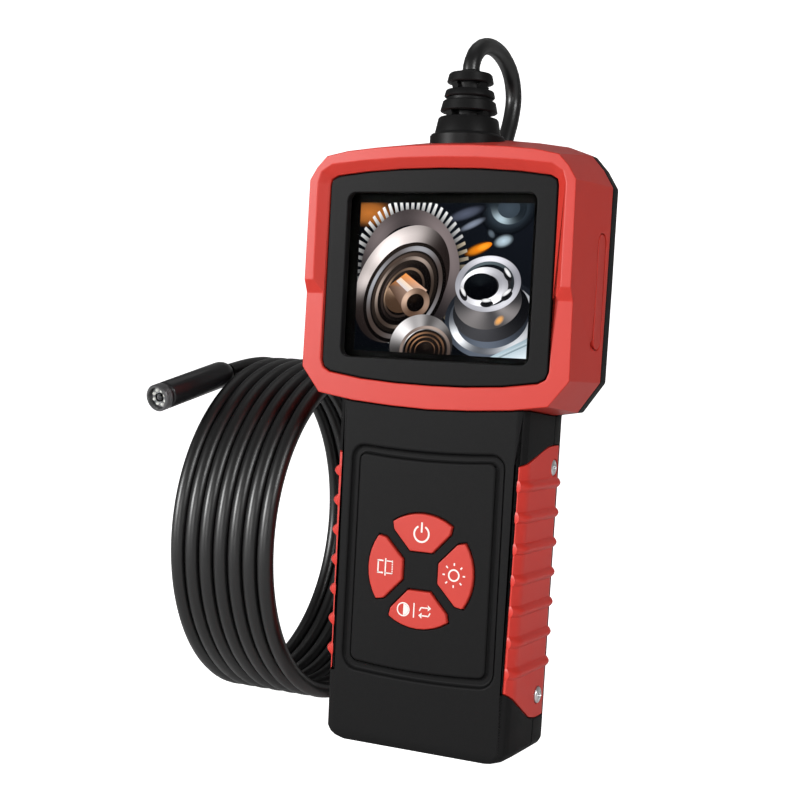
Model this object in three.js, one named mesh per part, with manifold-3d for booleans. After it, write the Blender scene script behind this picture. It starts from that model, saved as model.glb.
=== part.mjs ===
// Hand-held inspection camera: a pistol-straight handle with four keys, a head with a display,
// and a probe on a coiled cable. Millimetres, +Z up, the display faces -Y.
// The origin is the middle of the handle's flat base.
import * as THREE from 'three';
import { mergeVertices } from 'three/addons/utils/BufferGeometryUtils.js';
import Module from 'manifold-3d';

const wasm = await Module();
wasm.setup();

// ---------------------------------------------------------------- driving dimensions
const GAP = 0.3;                 // clearance between neighbouring pieces

const FRONT_Y = -17;             // front of the head's raised brow
const FACE_Y = -15;              // front of the head's lower face
const SEAM_Y = 9.5;              // red frame to black back cover
const BACK_Y = 17;               // back of the head
const BROW_LOW_Z = 130.4;        // foot of the brow's step
const BROW_HIGH_Z = 134;         // top of the brow's step
const HEAD_WALL = 2.6;           // wall of the red frame
const CHASSIS_WALL = 1.8;        // wall of the frame inside it

const WINDOW_HALF_WIDTH = 29.4;  // display opening in the bezel
const WINDOW_LOW_Z = 112.2;
const WINDOW_HIGH_Z = 159.8;
const GLASS_Y = -11.7;           // front of the display glass

const HANDLE_FRONT_Y = -14.1;
const HANDLE_BACK_Y = 16.4;
const HANDLE_TOP_Z = 102.2;
const WALL_INSIDE_Y = HANDLE_FRONT_Y + 2.2;  // back of the wall behind the keypad
const ROOM_BACK_Y = 15;           // back of the inside room before its wall is taken off
const HANDLE_WALL = 3.7;         // side wall, with the grips' recess in it
const PARTING_LOW_Y = 5;         // parting line at the base
const PARTING_HIGH_Y = 8.2;      // parting line at the head
const NECK_INSET = 2.5;          // the handle narrows by this much inside the head

const GROOVE_HALF_WIDTH = 23.8;  // outer edge of the groove round the keypad
const GROOVE_LOW_Z = 21.6;
const GROOVE_HIGH_Z = 87;
const GROOVE_WIDTH = 2.3;
const GROOVE_DEPTH = 1;
const GROOVE_BOW = 1.1;  // how far both ends of the groove bow down in the middle

const KEYPAD_Z = 52;             // centre of the four keys
const KEY_RADIUS = 16.5;
const KEY_INNER = 5.6;           // inner flat of a key, from the centre
const KEY_PROUD = 0.8;           // the keys' height above the handle, which is also their travel
const KEY_FLANGE = 0.8;

const GRIP_DEPTH = 1.8;
const GRIP_INNER_X = 26.7;       // where a grip starts, on the handle's front corner
const RIB_COUNT = 7;
const RIB_PITCH = 8.75;
const RIB_TOP_Z = 78.6;
const RIB_HEIGHT = 1.4;
const RIB_HALF_WIDTH = 2.5;

const SCREW_HEAD_RADIUS = 2.4;
const SCREW_SHAFT_RADIUS = 1.1;
const GRIP_SCREWS = { upper: { y: 10, z: 83 }, lower: { y: 7.7, z: 16.9 } };
const REAR_SCREW_X = 30.9;
const REAR_SCREW_Z = 163.4;

const DOOR_X = 42.4;             // outer face of the port door
const DOOR_THICKNESS = 1.4;
const DOOR_Y = 4.35;
const DOOR_RADIUS = 2.9;         // half its width, and its round ends
const DOOR_LOW_Z = 117.7;
const DOOR_HIGH_Z = 150.3;

const BOOT_Y = 2.3;
const BOOT_TOP_Z = 196.5;
const NECK_RADIUS = 5.5;         // of the boot, through the head's top

const CABLE_RADIUS = 2.5;
const COIL_Y = 35;
const COIL_RADIUS = 52.6;        // centre line of the coiled cable
const COIL_RIGHT_X = -43.6;
const COIL_LEFT_X = -81.5;
const COIL_Z = COIL_RADIUS + CABLE_RADIUS;

const PROBE_RADIUS = 4.25;
const PROBE_LENGTH = 35.8;
const PROBE_NOSE = 3;            // length of the ring at its front
const PROBE_FRONT = new THREE.Vector3(-89.5, -20.3, 96);
const PROBE_BACK = new THREE.Vector3(-86.1, 14.2, 104.8);
const LAMP_COUNT = 8;

// Cable centre line from the boot, over the loop, down behind the head to the floor and the coil.
const LEAD_POINTS = [
  [0, 2.3, 196.9], [0, 2.35, 198.6], [0, 4.6, 202.4], [0, 9.6, 205.6], [0, 17.2, 207], [0, 26, 205.6], [0, 33, 201.4],
  [0, 36, 195], [0, 34.6, 188], [0, 30.6, 180], [0, 24.8, 165], [0, 21.2, 147], [-1, 20.4, 122],
  [-4, 20.4, 92], [-9, 20.6, 58], [-15, 21.2, 31], [-20.5, 22.6, 14], [-27, 25.8, 5.2],
  [-33.5, 30, 2.9], [-41, 36.2, 2.6],
];
// Cable centre line from the top of the coil's last turn to the back of the probe.
const TAIL_POINTS = [[-84.3, 45, 106.75], [-84.4, 36, 107.65], [-84.9, 26, 107.1], [-86.05, 14.7, 104.92]];

// ---------------------------------------------------------------- colours and finishes
const FINISHES = {
  redPlastic: { color: 0xc5362f, roughness: 0.4, metalness: 0 },
  redRubber: { color: 0xb83029, roughness: 0.6, metalness: 0 },
  blackPlastic: { color: 0x1b1b1c, roughness: 0.5, metalness: 0 },
  blackGloss: { color: 0x0c0c0d, roughness: 0.2, metalness: 0 },
  blackRubber: { color: 0x121212, roughness: 0.65, metalness: 0 },
  glass: { color: 0x20262c, roughness: 0.05, metalness: 0 },
  circuitBoard: { color: 0x1f5a34, roughness: 0.6, metalness: 0 },
  steel: { color: 0xc9cbcd, roughness: 0.3, metalness: 1 },
  darkMetal: { color: 0x34363a, roughness: 0.35, metalness: 1 },
  lamp: { color: 0xf4f4ee, roughness: 0.3, metalness: 0 },
  cellWrap: { color: 0x2f5f9e, roughness: 0.4, metalness: 0 },
};

const model = new THREE.Group();

function addPart(name, geometry, finish) {
  const mesh = new THREE.Mesh(geometry, new THREE.MeshStandardMaterial(FINISHES[finish]));
  mesh.name = name;
  model.add(mesh);
  return mesh;
}

// ---------------------------------------------------------------- solids
function toSolid(geometry) {
  const bare = geometry.clone();
  bare.deleteAttribute('normal');
  bare.deleteAttribute('uv');
  const welded = mergeVertices(bare, 1e-4);
  return new wasm.Manifold(new wasm.Mesh({
    numProp: 3,
    vertProperties: new Float32Array(welded.attributes.position.array),
    triVerts: new Uint32Array(welded.index.array),
  }));
}

function toGeometry(solid) {
  const mesh = solid.getMesh();
  const geometry = new THREE.BufferGeometry();
  geometry.setAttribute('position', new THREE.BufferAttribute(new Float32Array(mesh.vertProperties), 3));
  geometry.setIndex(new THREE.BufferAttribute(new Uint32Array(mesh.triVerts), 1));
  return geometry;
}

// Joins rings of equal length into a closed body. Each ring is a list of [x, y, z] round a middle
// that sees all of it, and each end is closed by a fan from that middle.
function loft(rings) {
  const size = rings[0].length;
  const middleOf = (ring) => [0, 1, 2].map((axis) => ring.reduce((sum, point) => sum + point[axis], 0) / size);
  const positions = [...rings.flat(), middleOf(rings[0]), middleOf(rings.at(-1))].flat();
  const lowMiddle = rings.length * size;
  const highMiddle = lowMiddle + 1;
  const top = (rings.length - 1) * size;
  const triangles = [];
  for (let i = 0; i < size; i += 1) {
    const next = (i + 1) % size;
    for (let low = 0; low < top; low += size) {
      triangles.push(low + i, low + next, low + size + next, low + i, low + size + next, low + size + i);
    }
    triangles.push(next, i, lowMiddle, top + i, top + next, highMiddle);
  }
  const geometry = new THREE.BufferGeometry();
  geometry.setAttribute('position', new THREE.Float32BufferAttribute(positions, 3));
  geometry.setIndex(triangles);
  return toSolid(facingOut(geometry));
}

// Turns every face over when the body's signed volume is negative.
function facingOut(geometry) {
  const points = geometry.attributes.position;
  const index = geometry.index.array;
  const [a, b, c] = [new THREE.Vector3(), new THREE.Vector3(), new THREE.Vector3()];
  let volume = 0;
  for (let i = 0; i < index.length; i += 3) {
    a.fromBufferAttribute(points, index[i]);
    b.fromBufferAttribute(points, index[i + 1]);
    c.fromBufferAttribute(points, index[i + 2]);
    volume += a.dot(b.cross(c));
  }
  if (volume < 0) {
    index.reverse();
  }
  return geometry;
}

// Moves every edge of a closed outline outwards, or inwards when distance is negative.
function grow(outline, distance) {
  const turn = Math.sign(THREE.ShapeUtils.area(outline.map(([x, y]) => new THREE.Vector2(x, y))));
  return outline.map((point, i) => {
    const before = outline.at(i - 1);
    const after = outline[(i + 1) % outline.length];
    const inward = new THREE.Vector2(point[0] - before[0], point[1] - before[1]).normalize();
    const outward = new THREE.Vector2(after[0] - point[0], after[1] - point[1]).normalize();
    const normal = new THREE.Vector2(inward.y + outward.y, -inward.x - outward.x);
    const reach = (2 * distance * turn) / normal.lengthSq();
    return [point[0] + normal.x * reach, point[1] + normal.y * reach];
  });
}

const alongX = (outline, x) => outline.map(([y, z]) => [x, y, z]);
const alongY = (outline, y) => outline.map(([x, z]) => [x, y, z]);
const alongZ = (outline, z) => outline.map(([x, y]) => [x, y, z]);
const prismX = (outline, x0, x1) => loft([alongX(outline, x0), alongX(outline, x1)]);
const prismY = (outline, y0, y1) => loft([alongY(outline, y0), alongY(outline, y1)]);

function box(x0, x1, y0, y1, z0, z1) {
  const geometry = new THREE.BoxGeometry(x1 - x0, y1 - y0, z1 - z0);
  geometry.translate((x0 + x1) / 2, (y0 + y1) / 2, (z0 + z1) / 2);
  return toSolid(geometry);
}

// A cylinder from start to end along one of the axes 'x', 'y' or 'z', through the point at.
function rod(radius, axis, start, end, at, sides = 20) {
  const geometry = new THREE.CylinderGeometry(radius, radius, end - start, sides);
  if (axis === 'x') {
    geometry.rotateZ(-Math.PI / 2);
  }
  if (axis === 'z') {
    geometry.rotateX(Math.PI / 2);
  }
  const middle = (start + end) / 2;
  const centre = { x: 0, y: 0, z: 0, ...at, [axis]: middle };
  geometry.translate(centre.x, centre.y, centre.z);
  return toSolid(geometry);
}

function roundedRectangle(x0, x1, z0, z1, radius, steps = 4) {
  const corners = [[x1 - radius, z1 - radius, 0], [x0 + radius, z1 - radius, 1],
    [x0 + radius, z0 + radius, 2], [x1 - radius, z0 + radius, 3]];
  return corners.flatMap(([cx, cz, quarter]) => Array.from({ length: steps + 1 }, (_, i) => {
    const angle = (quarter + i / steps) * (Math.PI / 2);
    return [cx + radius * Math.cos(angle), cz + radius * Math.sin(angle)];
  }));
}

// Completes an outline that is given for +X only, from the top to the bottom.
function bothSides(rightHalf) {
  const leftHalf = rightHalf.filter(([x]) => x > 0).map(([x, z]) => [-x, z]);
  return [...rightHalf, ...leftHalf.toReversed()];
}

const blend = (from, to, share) => from.map(([x, z], i) => [
  THREE.MathUtils.lerp(x, to[i][0], share),
  THREE.MathUtils.lerp(z, to[i][1], share),
]);

// ---------------------------------------------------------------- head outlines
const HEAD_FRONT = bothSides([[0, 173], [10, 172.85], [20, 172.35], [29, 171.5], [35.9, 170.1], [39, 166.8],
  [41.2, 163.2], [41.4, 136], [41.7, 108.6], [35.9, 101.4], [25, 99.8], [12, 98.9], [0, 98.5]]);
const HEAD_SEAM = bothSides([[0, 178.2], [10, 177.9], [20, 177], [29, 175.7], [36.1, 173.2], [39.9, 169],
  [43, 164], [42.8, 136], [42.4, 108.3], [36.2, 99.4], [25, 97.4], [12, 96.7], [0, 96.5]]);
const BEZEL_OUTLINE = bothSides([[0, 166.8], [12, 166.6], [24, 165.8], [33, 164.7], [35.1, 163.6],
  [35.5, 161.8], [35.5, 110.7], [34.7, 108.6], [32.5, 107.4], [22, 105.9], [11, 105.2], [0, 105]]);
const BEVEL_OUTLINE = bothSides([[0, 169.6], [12, 169.4], [24, 168.7], [34, 167.7], [37.4, 165.6],
  [38.4, 162.3], [38.4, 110.7], [36.4, 107.4], [32.5, 106], [22, 105.2], [11, 104.9], [0, 104.8]]);

const headAt = (y) => blend(HEAD_FRONT, HEAD_SEAM, (y - FRONT_Y) / (SEAM_Y - FRONT_Y));

// The head's whole body between two depths, smaller all round by inset.
function headBody(y0, y1, inset) {
  const seam = headAt(SEAM_Y);
  const outlines = [[y0, grow(headAt(Math.min(y0, SEAM_Y)), -inset)]];
  if (y0 < SEAM_Y && y1 > SEAM_Y) {
    outlines.push([SEAM_Y, grow(seam, -inset)]);
  }
  outlines.push([y1, grow(headAt(Math.min(y1, SEAM_Y)), -inset)]);
  return loft(outlines.map(([y, outline]) => alongY(outline, y)));
}

function backCoverBody() {
  const roundOver = [[SEAM_Y + GAP, 0], [14, 0], [15.6, 0.5], [16.6, 1.6], [BACK_Y, 3.2]];
  return loft(roundOver.map(([y, inset]) => alongY(grow(HEAD_SEAM, -inset), y)));
}

// ---------------------------------------------------------------- handle outlines
// Cross-section of the handle, as [x, y], drawn for +X from the front to the back.
function handleSection(z, inset = 0) {
  const share = z / 97;
  const half = 29.1 + 0.9 * share;
  const flat = 26.2 + 0.8 * share;
  const rightHalf = [[0, HANDLE_FRONT_Y], [flat, HANDLE_FRONT_Y], [flat + 1.7, HANDLE_FRONT_Y + 0.9],
    [half - 0.3, HANDLE_FRONT_Y + 2.8], [half, -4], [half, 13], [half - 0.5, 14.6], [half - 1.9, 15.8],
    [half - 4.5, HANDLE_BACK_Y], [0, HANDLE_BACK_Y]];
  return grow(bothSides(rightHalf), -inset);
}

// Cross-section of the room inside the handle, whose rear corners are cut off for the screw bosses.
function roomSection(z) {
  const share = z / 97;
  const half = 29.1 + 0.9 * share;
  const flat = 26.2 + 0.8 * share;
  const rightHalf = [[0, HANDLE_FRONT_Y], [flat, HANDLE_FRONT_Y], [flat + 1.7, HANDLE_FRONT_Y + 0.9],
    [half - 0.3, HANDLE_FRONT_Y + 2.8], [half, -4], [half, 8], [half - 0.6, 11.4], [half - 2.4, 13.8],
    [half - 6, ROOM_BACK_Y], [0, ROOM_BACK_Y]];
  return grow(bothSides(rightHalf), -HANDLE_WALL);
}

// Heights and insets that round the bottom of the handle.
const HANDLE_FOOT = [[0, 4.6, 1], [0.8, 2.3, 0.4], [1.8, 0.9, 0.1], [3.4, 0, 0]];

function handleBody(top = HANDLE_TOP_Z, inset = 0, bottom = 0) {
  if (bottom > 0) {
    return loft([alongZ(handleSection(bottom, inset), bottom), alongZ(handleSection(top, inset), top)]);
  }
  const foot = HANDLE_FOOT.map(([z, sideInset, faceInset]) => {
    const section = handleSection(z, inset);
    const widest = Math.max(...section.map(([x]) => x));
    return alongZ(section.map(([x, y]) => [
      x * (1 - sideInset / widest),
      y * (1 - faceInset / HANDLE_BACK_Y),
    ]), z);
  });
  return loft([...foot, alongZ(handleSection(top, inset), top)]);
}

const partingAt = (z) => PARTING_LOW_Y + (PARTING_HIGH_Y - PARTING_LOW_Y) * (z / 97);

// Everything in front of the handle's parting line, moved back by shift.
function frontOfParting(shift) {
  return prismX([[-30, -5], [partingAt(-5) + shift, -5], [partingAt(110) + shift, 110], [-30, 110]], -60, 60);
}

// ---------------------------------------------------------------- keys
// Outline of a key, turned by quarter turns from the top key, with its inner flat's half width.
function keyOutline(quarterTurns, innerHalf) {
  const arcStart = Math.atan2(13.7, 9.3);
  const arcSteps = 8;
  const arc = Array.from({ length: arcSteps + 1 }, (_, i) => {
    const angle = arcStart + (i / arcSteps) * (Math.PI - 2 * arcStart);
    return [KEY_RADIUS * Math.cos(angle), KEY_RADIUS * Math.sin(angle)];
  });
  const upright = [[-innerHalf, KEY_INNER], [innerHalf, KEY_INNER], [8.8, 11.3], ...arc, [-8.8, 11.3]];
  const turn = (quarterTurns * Math.PI) / 2;
  return upright.map(([x, z]) => [
    x * Math.cos(turn) - z * Math.sin(turn),
    x * Math.sin(turn) + z * Math.cos(turn) + KEYPAD_Z,
  ]);
}

const KEYS = {
  power: keyOutline(0, 3.5),
  mirror: keyOutline(1, 2.9),
  mode: keyOutline(2, 3.5),
  light: keyOutline(3, 2.9),
};

function makeKey(outline) {
  const cap = prismY(outline, HANDLE_FRONT_Y - KEY_PROUD, WALL_INSIDE_Y + GAP + 0.9);
  const flange = prismY(grow(outline, KEY_FLANGE), WALL_INSIDE_Y + GAP, WALL_INSIDE_Y + GAP + 1);
  return cap.add(flange);
}

// ---------------------------------------------------------------- grips
// Side outline of a grip, as [y, z].
const GRIP_OUTLINE = [[-13.7, 20.7], [-6, 16], [2, 11.4], [7, 10.5], [13.4, 10.5], [13.4, 89.4],
  [9, 89.4], [4, 89], [-13.7, 84]];

function ribHeight(z) {
  const heights = Array.from({ length: RIB_COUNT }, (_, i) => {
    const away = Math.abs(z - (RIB_TOP_Z - i * RIB_PITCH)) / RIB_HALF_WIDTH;
    return away < 1 ? RIB_HEIGHT * Math.cos((away * Math.PI) / 2) ** 2 : 0;
  });
  return Math.max(...heights);
}

function gripBand(inner) {
  const levels = [8];
  for (let i = RIB_COUNT - 1; i >= 0; i -= 1) {
    const ribZ = RIB_TOP_Z - i * RIB_PITCH;
    [-1, -0.5, 0, 0.5, 1].forEach((step) => levels.push(ribZ + step * RIB_HALF_WIDTH));
  }
  levels.push(92);
  const outer = loft(levels.map((z) => alongZ(handleSection(z, -ribHeight(z)), z)));
  return outer.subtract(inner);
}

function makeGrip(side) {
  const core = loft([alongZ(handleSection(0, GRIP_DEPTH), -2), alongZ(handleSection(97, GRIP_DEPTH), 97)]);
  const [x0, x1] = side > 0 ? [GRIP_INNER_X, 40] : [-40, -GRIP_INNER_X];
  let grip = gripBand(core).intersect(prismX(GRIP_OUTLINE, x0, x1));
  Object.values(GRIP_SCREWS).forEach(({ y, z }) => {
    grip = grip.subtract(rod(SCREW_HEAD_RADIUS + GAP, 'x', x0, x1, { y, z }));
  });
  return grip;
}

// The recess that both grips sit in.
function gripRecess() {
  const core = loft([
    alongZ(handleSection(0, GRIP_DEPTH + GAP), -2),
    alongZ(handleSection(97, GRIP_DEPTH + GAP), 97),
  ]);
  const outline = grow(GRIP_OUTLINE, GAP);
  const middle = GRIP_INNER_X - GAP;
  return prismX(outline, -40, 40).subtract(box(-middle, middle, -30, 30, -5, 110)).subtract(core);
}

function makeGripScrew(side, { y, z }) {
  const shoulder = side > 0 ? [28.1, 29.7] : [-29.7, -28.1];
  const shaft = side > 0 ? [21.6, 28.4] : [-28.4, -21.6];
  const slot = side > 0 ? [29.1, 31] : [-31, -29.1];
  const head = rod(SCREW_HEAD_RADIUS, 'x', ...shoulder, { y, z });
  const cross = box(...slot, y - 1.5, y + 1.5, z - 0.3, z + 0.3)
    .add(box(...slot, y - 0.3, y + 0.3, z - 1.5, z + 1.5));
  return head.add(rod(SCREW_SHAFT_RADIUS, 'x', ...shaft, { y, z }, 12)).subtract(cross);
}

// ---------------------------------------------------------------- shells
const bootHole = rod(NECK_RADIUS + GAP, 'z', 160, 185, { y: BOOT_Y }, 24);
const doorOutline = roundedRectangle(
  DOOR_Y - DOOR_RADIUS, DOOR_Y + DOOR_RADIUS, DOOR_LOW_Z, DOOR_HIGH_Z, DOOR_RADIUS - 0.01, 5,
);
const neck = handleBody(HANDLE_TOP_Z, NECK_INSET, 90);
const neckRoom = handleBody(HANDLE_TOP_Z + 2, NECK_INSET - GAP, 90);
const handleInside = loft([
  alongZ(roomSection(2.4), 2.4),
  alongZ(roomSection(HANDLE_TOP_Z + 2), HANDLE_TOP_Z + 2),
]).add(box(-22, 22, WALL_INSIDE_Y, ROOM_BACK_Y - 2.2, 18, 88));
const keyHoles = Object.values(KEYS)
  .map((outline) => prismY(grow(outline, GAP), -20, WALL_INSIDE_Y + 2))
  .reduce((all, hole) => all.add(hole));

function makeBumper() {
  const step = prismX([[FRONT_Y - 2, 90], [FACE_Y, 90], [FACE_Y, BROW_LOW_Z], [FRONT_Y, BROW_HIGH_Z],
    [FRONT_Y - 2, BROW_HIGH_Z]], -60, 60);
  const bevel = loft([
    alongY(grow(BEVEL_OUTLINE, 0.6), FRONT_Y - 0.5),
    alongY(BEZEL_OUTLINE, FACE_Y + 0.3),
  ]);
  const scoop = toSolid(new THREE.SphereGeometry(2, 14, 10).translate(43.35, 1.1, 118.9));
  return headBody(FRONT_Y, SEAM_Y, 0)
    .subtract(step)
    .subtract(bevel)
    .subtract(prismY(BEZEL_OUTLINE, FACE_Y - 1, FACE_Y + 3))
    .subtract(headBody(FACE_Y + 2, SEAM_Y + 1, HEAD_WALL))
    .subtract(neckRoom)
    .subtract(prismX(grow(doorOutline, GAP), 36, 50))
    .subtract(scoop)
    .subtract(bootHole);
}

function makeBezel() {
  const face = prismY(grow(BEZEL_OUTLINE, -GAP), FACE_Y + 0.3, FACE_Y + 3);
  const flange = prismY(grow(BEZEL_OUTLINE, 1.2), FACE_Y + 2.3, FACE_Y + 3);
  const outerWindow = roundedRectangle(-WINDOW_HALF_WIDTH, WINDOW_HALF_WIDTH, WINDOW_LOW_Z, WINDOW_HIGH_Z, 2.5);
  return face.add(flange).subtract(prismY(outerWindow, FACE_Y - 2, FACE_Y + 5));
}

function makeChassis() {
  const outside = headBody(GLASS_Y + 1.3, SEAM_Y - GAP, HEAD_WALL + GAP);
  const inside = headBody(GLASS_Y + 2.5, SEAM_Y + 1, HEAD_WALL + GAP + CHASSIS_WALL);
  const window = box(-30.9, 30.9, -20, 0, 111.1, 160.8);
  const posts = [-1, 1].map((side) => {
    const at = { x: side * REAR_SCREW_X, z: REAR_SCREW_Z };
    return rod(2.5, 'y', GLASS_Y + 2, SEAM_Y - GAP, at, 16)
      .subtract(rod(SCREW_SHAFT_RADIUS + GAP, 'y', -2, SEAM_Y + 1, at, 12));
  });
  return outside.subtract(inside).subtract(window).add(posts[0]).add(posts[1]);
}

// One edge of the groove round the keypad, whose ends bow down in the middle, as [x, z].
function grooveOutline(inset, radius) {
  const half = GROOVE_HALF_WIDTH - inset;
  return roundedRectangle(-half, half, GROOVE_LOW_Z + inset, GROOVE_HIGH_Z - inset, radius)
    .flatMap(([x, z], i, all) => {
      const [nextX, nextZ] = all[(i + 1) % all.length];
      const steps = Math.abs(nextX - x) > 10 ? 6 : 1;
      return Array.from({ length: steps }, (_, step) => [
        THREE.MathUtils.lerp(x, nextX, step / steps),
        THREE.MathUtils.lerp(z, nextZ, step / steps),
      ]);
    })
    .map(([x, z]) => [x, z - GROOVE_BOW * (1 - (x / half) ** 2)]);
}

function makeFrontShell() {
  const headRoom = headBody(FRONT_Y - 1, BACK_Y + 3, 0).translate([0, 0, -GAP]);
  const groove = prismY(grooveOutline(0, 4), HANDLE_FRONT_Y - 1, HANDLE_FRONT_Y + GROOVE_DEPTH)
    .subtract(prismY(grooveOutline(GROOVE_WIDTH, 2.2), HANDLE_FRONT_Y - 2, HANDLE_FRONT_Y + 2));
  const socketRoom = box(34, 41, 2.2, 6.2, 124.7, 134.8).add(box(34, 41, 2.2, 5, 137.2, 149.9));
  return handleBody()
    .subtract(headRoom)
    .add(neck)
    .intersect(frontOfParting(0))
    .subtract(gripRecess())
    .add(makeChassis())
    .subtract(handleInside)
    .subtract(groove)
    .subtract(keyHoles)
    .subtract(socketRoom)
    .subtract(bootHole);
}

function makeRearShell() {
  const headRoom = headBody(FRONT_Y - 1, SEAM_Y, 0).translate([0, GAP, -GAP]);
  const bosses = [-1, 1].flatMap((side) => Object.values(GRIP_SCREWS).map(({ y, z }) => {
    const [x0, x1] = side > 0 ? [20.5, 27] : [-27, -20.5];
    return box(x0, x1, y - 1.9, HANDLE_BACK_Y - 2.4, z - 2.6, z + 2.6);
  }));
  const screwHoles = [-1, 1].flatMap((side) => Object.values(GRIP_SCREWS).map(({ y, z }) => {
    const [x0, x1] = side > 0 ? [21.2, 40] : [-40, -21.2];
    return rod(SCREW_SHAFT_RADIUS + GAP, 'x', x0, x1, { y, z }, 12);
  }));
  const cover = backCoverBody().subtract(headBody(SEAM_Y, BACK_Y - 2.2, HEAD_WALL + GAP + 0.4));
  let shell = handleBody(HANDLE_TOP_Z).subtract(handleInside);
  bosses.forEach((boss) => {
    shell = shell.add(boss);
  });
  shell = shell.subtract(frontOfParting(GAP)).subtract(headRoom).add(cover)
    .subtract(handleInside.subtract(box(-40, 40, -30, 30, 0, 95)))
    .subtract(gripRecess());
  screwHoles.forEach((hole) => {
    shell = shell.subtract(hole);
  });
  [-1, 1].forEach((side) => {
    const at = { x: side * REAR_SCREW_X, z: REAR_SCREW_Z };
    shell = shell.add(rod(3.6, 'y', SEAM_Y + GAP, BACK_Y - 1, at, 20))
      .subtract(rod(SCREW_SHAFT_RADIUS + GAP, 'y', 5, 20, at, 12))
      .subtract(rod(SCREW_HEAD_RADIUS + GAP, 'y', BACK_Y - 2, 20, at, 20));
  });
  return shell;
}

function makeRearScrew(side) {
  const at = { x: side * REAR_SCREW_X, z: REAR_SCREW_Z };
  const head = rod(SCREW_HEAD_RADIUS, 'y', BACK_Y - 1.7, BACK_Y - 0.2, at);
  const cross = box(at.x - 1.5, at.x + 1.5, BACK_Y - 0.8, 20, at.z - 0.3, at.z + 0.3)
    .add(box(at.x - 0.3, at.x + 0.3, BACK_Y - 0.8, 20, at.z - 1.5, at.z + 1.5));
  return head.add(rod(SCREW_SHAFT_RADIUS, 'y', 0, BACK_Y - 1.5, at, 12)).subtract(cross);
}

// ---------------------------------------------------------------- strain relief
// Profile of the boot above the head, as [radius, z]: a collar and three rings over narrow necks.
const BOOT_PROFILE = [[0, 170], [11, 170], [11, 177.6], [10.1, 178.5], [9.6, 178.7], [8.7, 183.2], [5.2, 183.2],
  [5.2, 184.9], [8.4, 184.9], [7.6, 188.2], [6.6, 188.3], [6.6, 189.1], [7.45, 189.2], [7, 191.3], [5.2, 191.4],
  [5.2, 193.3], [6.85, 193.4], [6.2, 196.2], [5.8, BOOT_TOP_Z], [0, BOOT_TOP_Z]];

function lathe(profile, sides) {
  const points = profile.map(([radius, height]) => new THREE.Vector2(radius, height));
  return new THREE.LatheGeometry(points, sides);
}

function makeStrainRelief() {
  const boot = toSolid(lathe(BOOT_PROFILE, 28).rotateX(Math.PI / 2).translate(0, BOOT_Y, 0));
  const headRoom = headBody(FRONT_Y - 1, BACK_Y + 2, 0).translate([0, 0, GAP]);
  const plug = rod(NECK_RADIUS, 'z', 168, 180, { y: BOOT_Y }, 24);
  const flange = rod(7, 'z', 168, 169.6, { y: BOOT_Y - 0.4 }, 24);
  return boot.subtract(headRoom).add(plug).add(flange);
}

// ---------------------------------------------------------------- cable
function makeTube(points, radius, steps) {
  const curve = new THREE.CatmullRomCurve3(points.map((point) => new THREE.Vector3(...point)), false, 'centripetal');
  const section = new THREE.Shape();
  section.absarc(0, 0, radius, 0, 2 * Math.PI);
  return new THREE.ExtrudeGeometry(section, { steps, extrudePath: curve, curveSegments: 10, bevelEnabled: false });
}

// One ring with the coil's outer shape, its axis along X.
function makeCoil() {
  const inner = COIL_RADIUS - CABLE_RADIUS;
  const outer = COIL_RADIUS + CABLE_RADIUS;
  const width = COIL_RIGHT_X - COIL_LEFT_X;
  const profile = [[inner, 0], [outer, 0], [outer, width], [inner, width], [inner, 0]];
  return lathe(profile, 64).rotateZ(-Math.PI / 2).translate(COIL_LEFT_X, COIL_Y, COIL_Z);
}

// ---------------------------------------------------------------- probe
// Probe pieces are made along +Z with the nose at z = 0 and then laid on the probe's axis.
const probe = new THREE.Group();
probe.position.copy(PROBE_FRONT);
probe.quaternion.setFromUnitVectors(
  new THREE.Vector3(0, 0, 1),
  PROBE_BACK.clone().sub(PROBE_FRONT).normalize(),
);
model.add(probe);

function addProbePart(name, geometry, finish) {
  probe.add(addPart(name, geometry, finish));
}

function makeProbeHousing() {
  const end = PROBE_LENGTH - 0.3;
  const front = PROBE_NOSE + GAP;
  return lathe([[0, front], [PROBE_RADIUS, front], [PROBE_RADIUS, end - 3], [PROBE_RADIUS - 0.5, end - 1.2],
    [PROBE_RADIUS - 1.5, end], [0, end]], 28).rotateX(Math.PI / 2);
}

function makeNoseRing() {
  return lathe([[3.35, 0], [PROBE_RADIUS - 0.4, 0], [PROBE_RADIUS, 0.4], [PROBE_RADIUS, PROBE_NOSE],
    [3.35, PROBE_NOSE], [3.35, 0]], 28).rotateX(Math.PI / 2);
}

function makeLampBoard() {
  return lathe([[1.4, 2], [3.05, 2], [3.05, PROBE_NOSE], [1.4, PROBE_NOSE], [1.4, 2]], 24).rotateX(Math.PI / 2);
}

function makeLamp(index) {
  const angle = (index / LAMP_COUNT) * 2 * Math.PI;
  const geometry = new THREE.BoxGeometry(0.9, 0.7, 0.5).translate(2.25, 0, 1.4);
  return geometry.rotateZ(angle);
}

// ---------------------------------------------------------------- assembly
addPart('front_shell', toGeometry(makeFrontShell()), 'blackPlastic');
addPart('rear_shell', toGeometry(makeRearShell()), 'blackPlastic');
addPart('head_bumper', toGeometry(makeBumper()), 'redPlastic');
addPart('screen_bezel', toGeometry(makeBezel()), 'blackGloss');
addPart('display_glass', toGeometry(box(-33.5, 33.5, GLASS_Y, GLASS_Y + 1, 108.5, 163.5)), 'glass');
addPart('display_panel', toGeometry(box(-30.5, 30.5, GLASS_Y + 1.3, GLASS_Y + 4.9, 111.5, 160.5)), 'steel');
addPart('main_board', toGeometry(box(-33, 33, 0.6, 2.2, 107, 153)), 'circuitBoard');
addPart('keypad_board', toGeometry(box(-19, 19, -8, -6.8, 32, 72)), 'circuitBoard');
addPart('battery_cell', toGeometry(rod(9.2, 'z', 20, 85, { y: 3.3 }, 28)), 'cellWrap');
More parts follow.
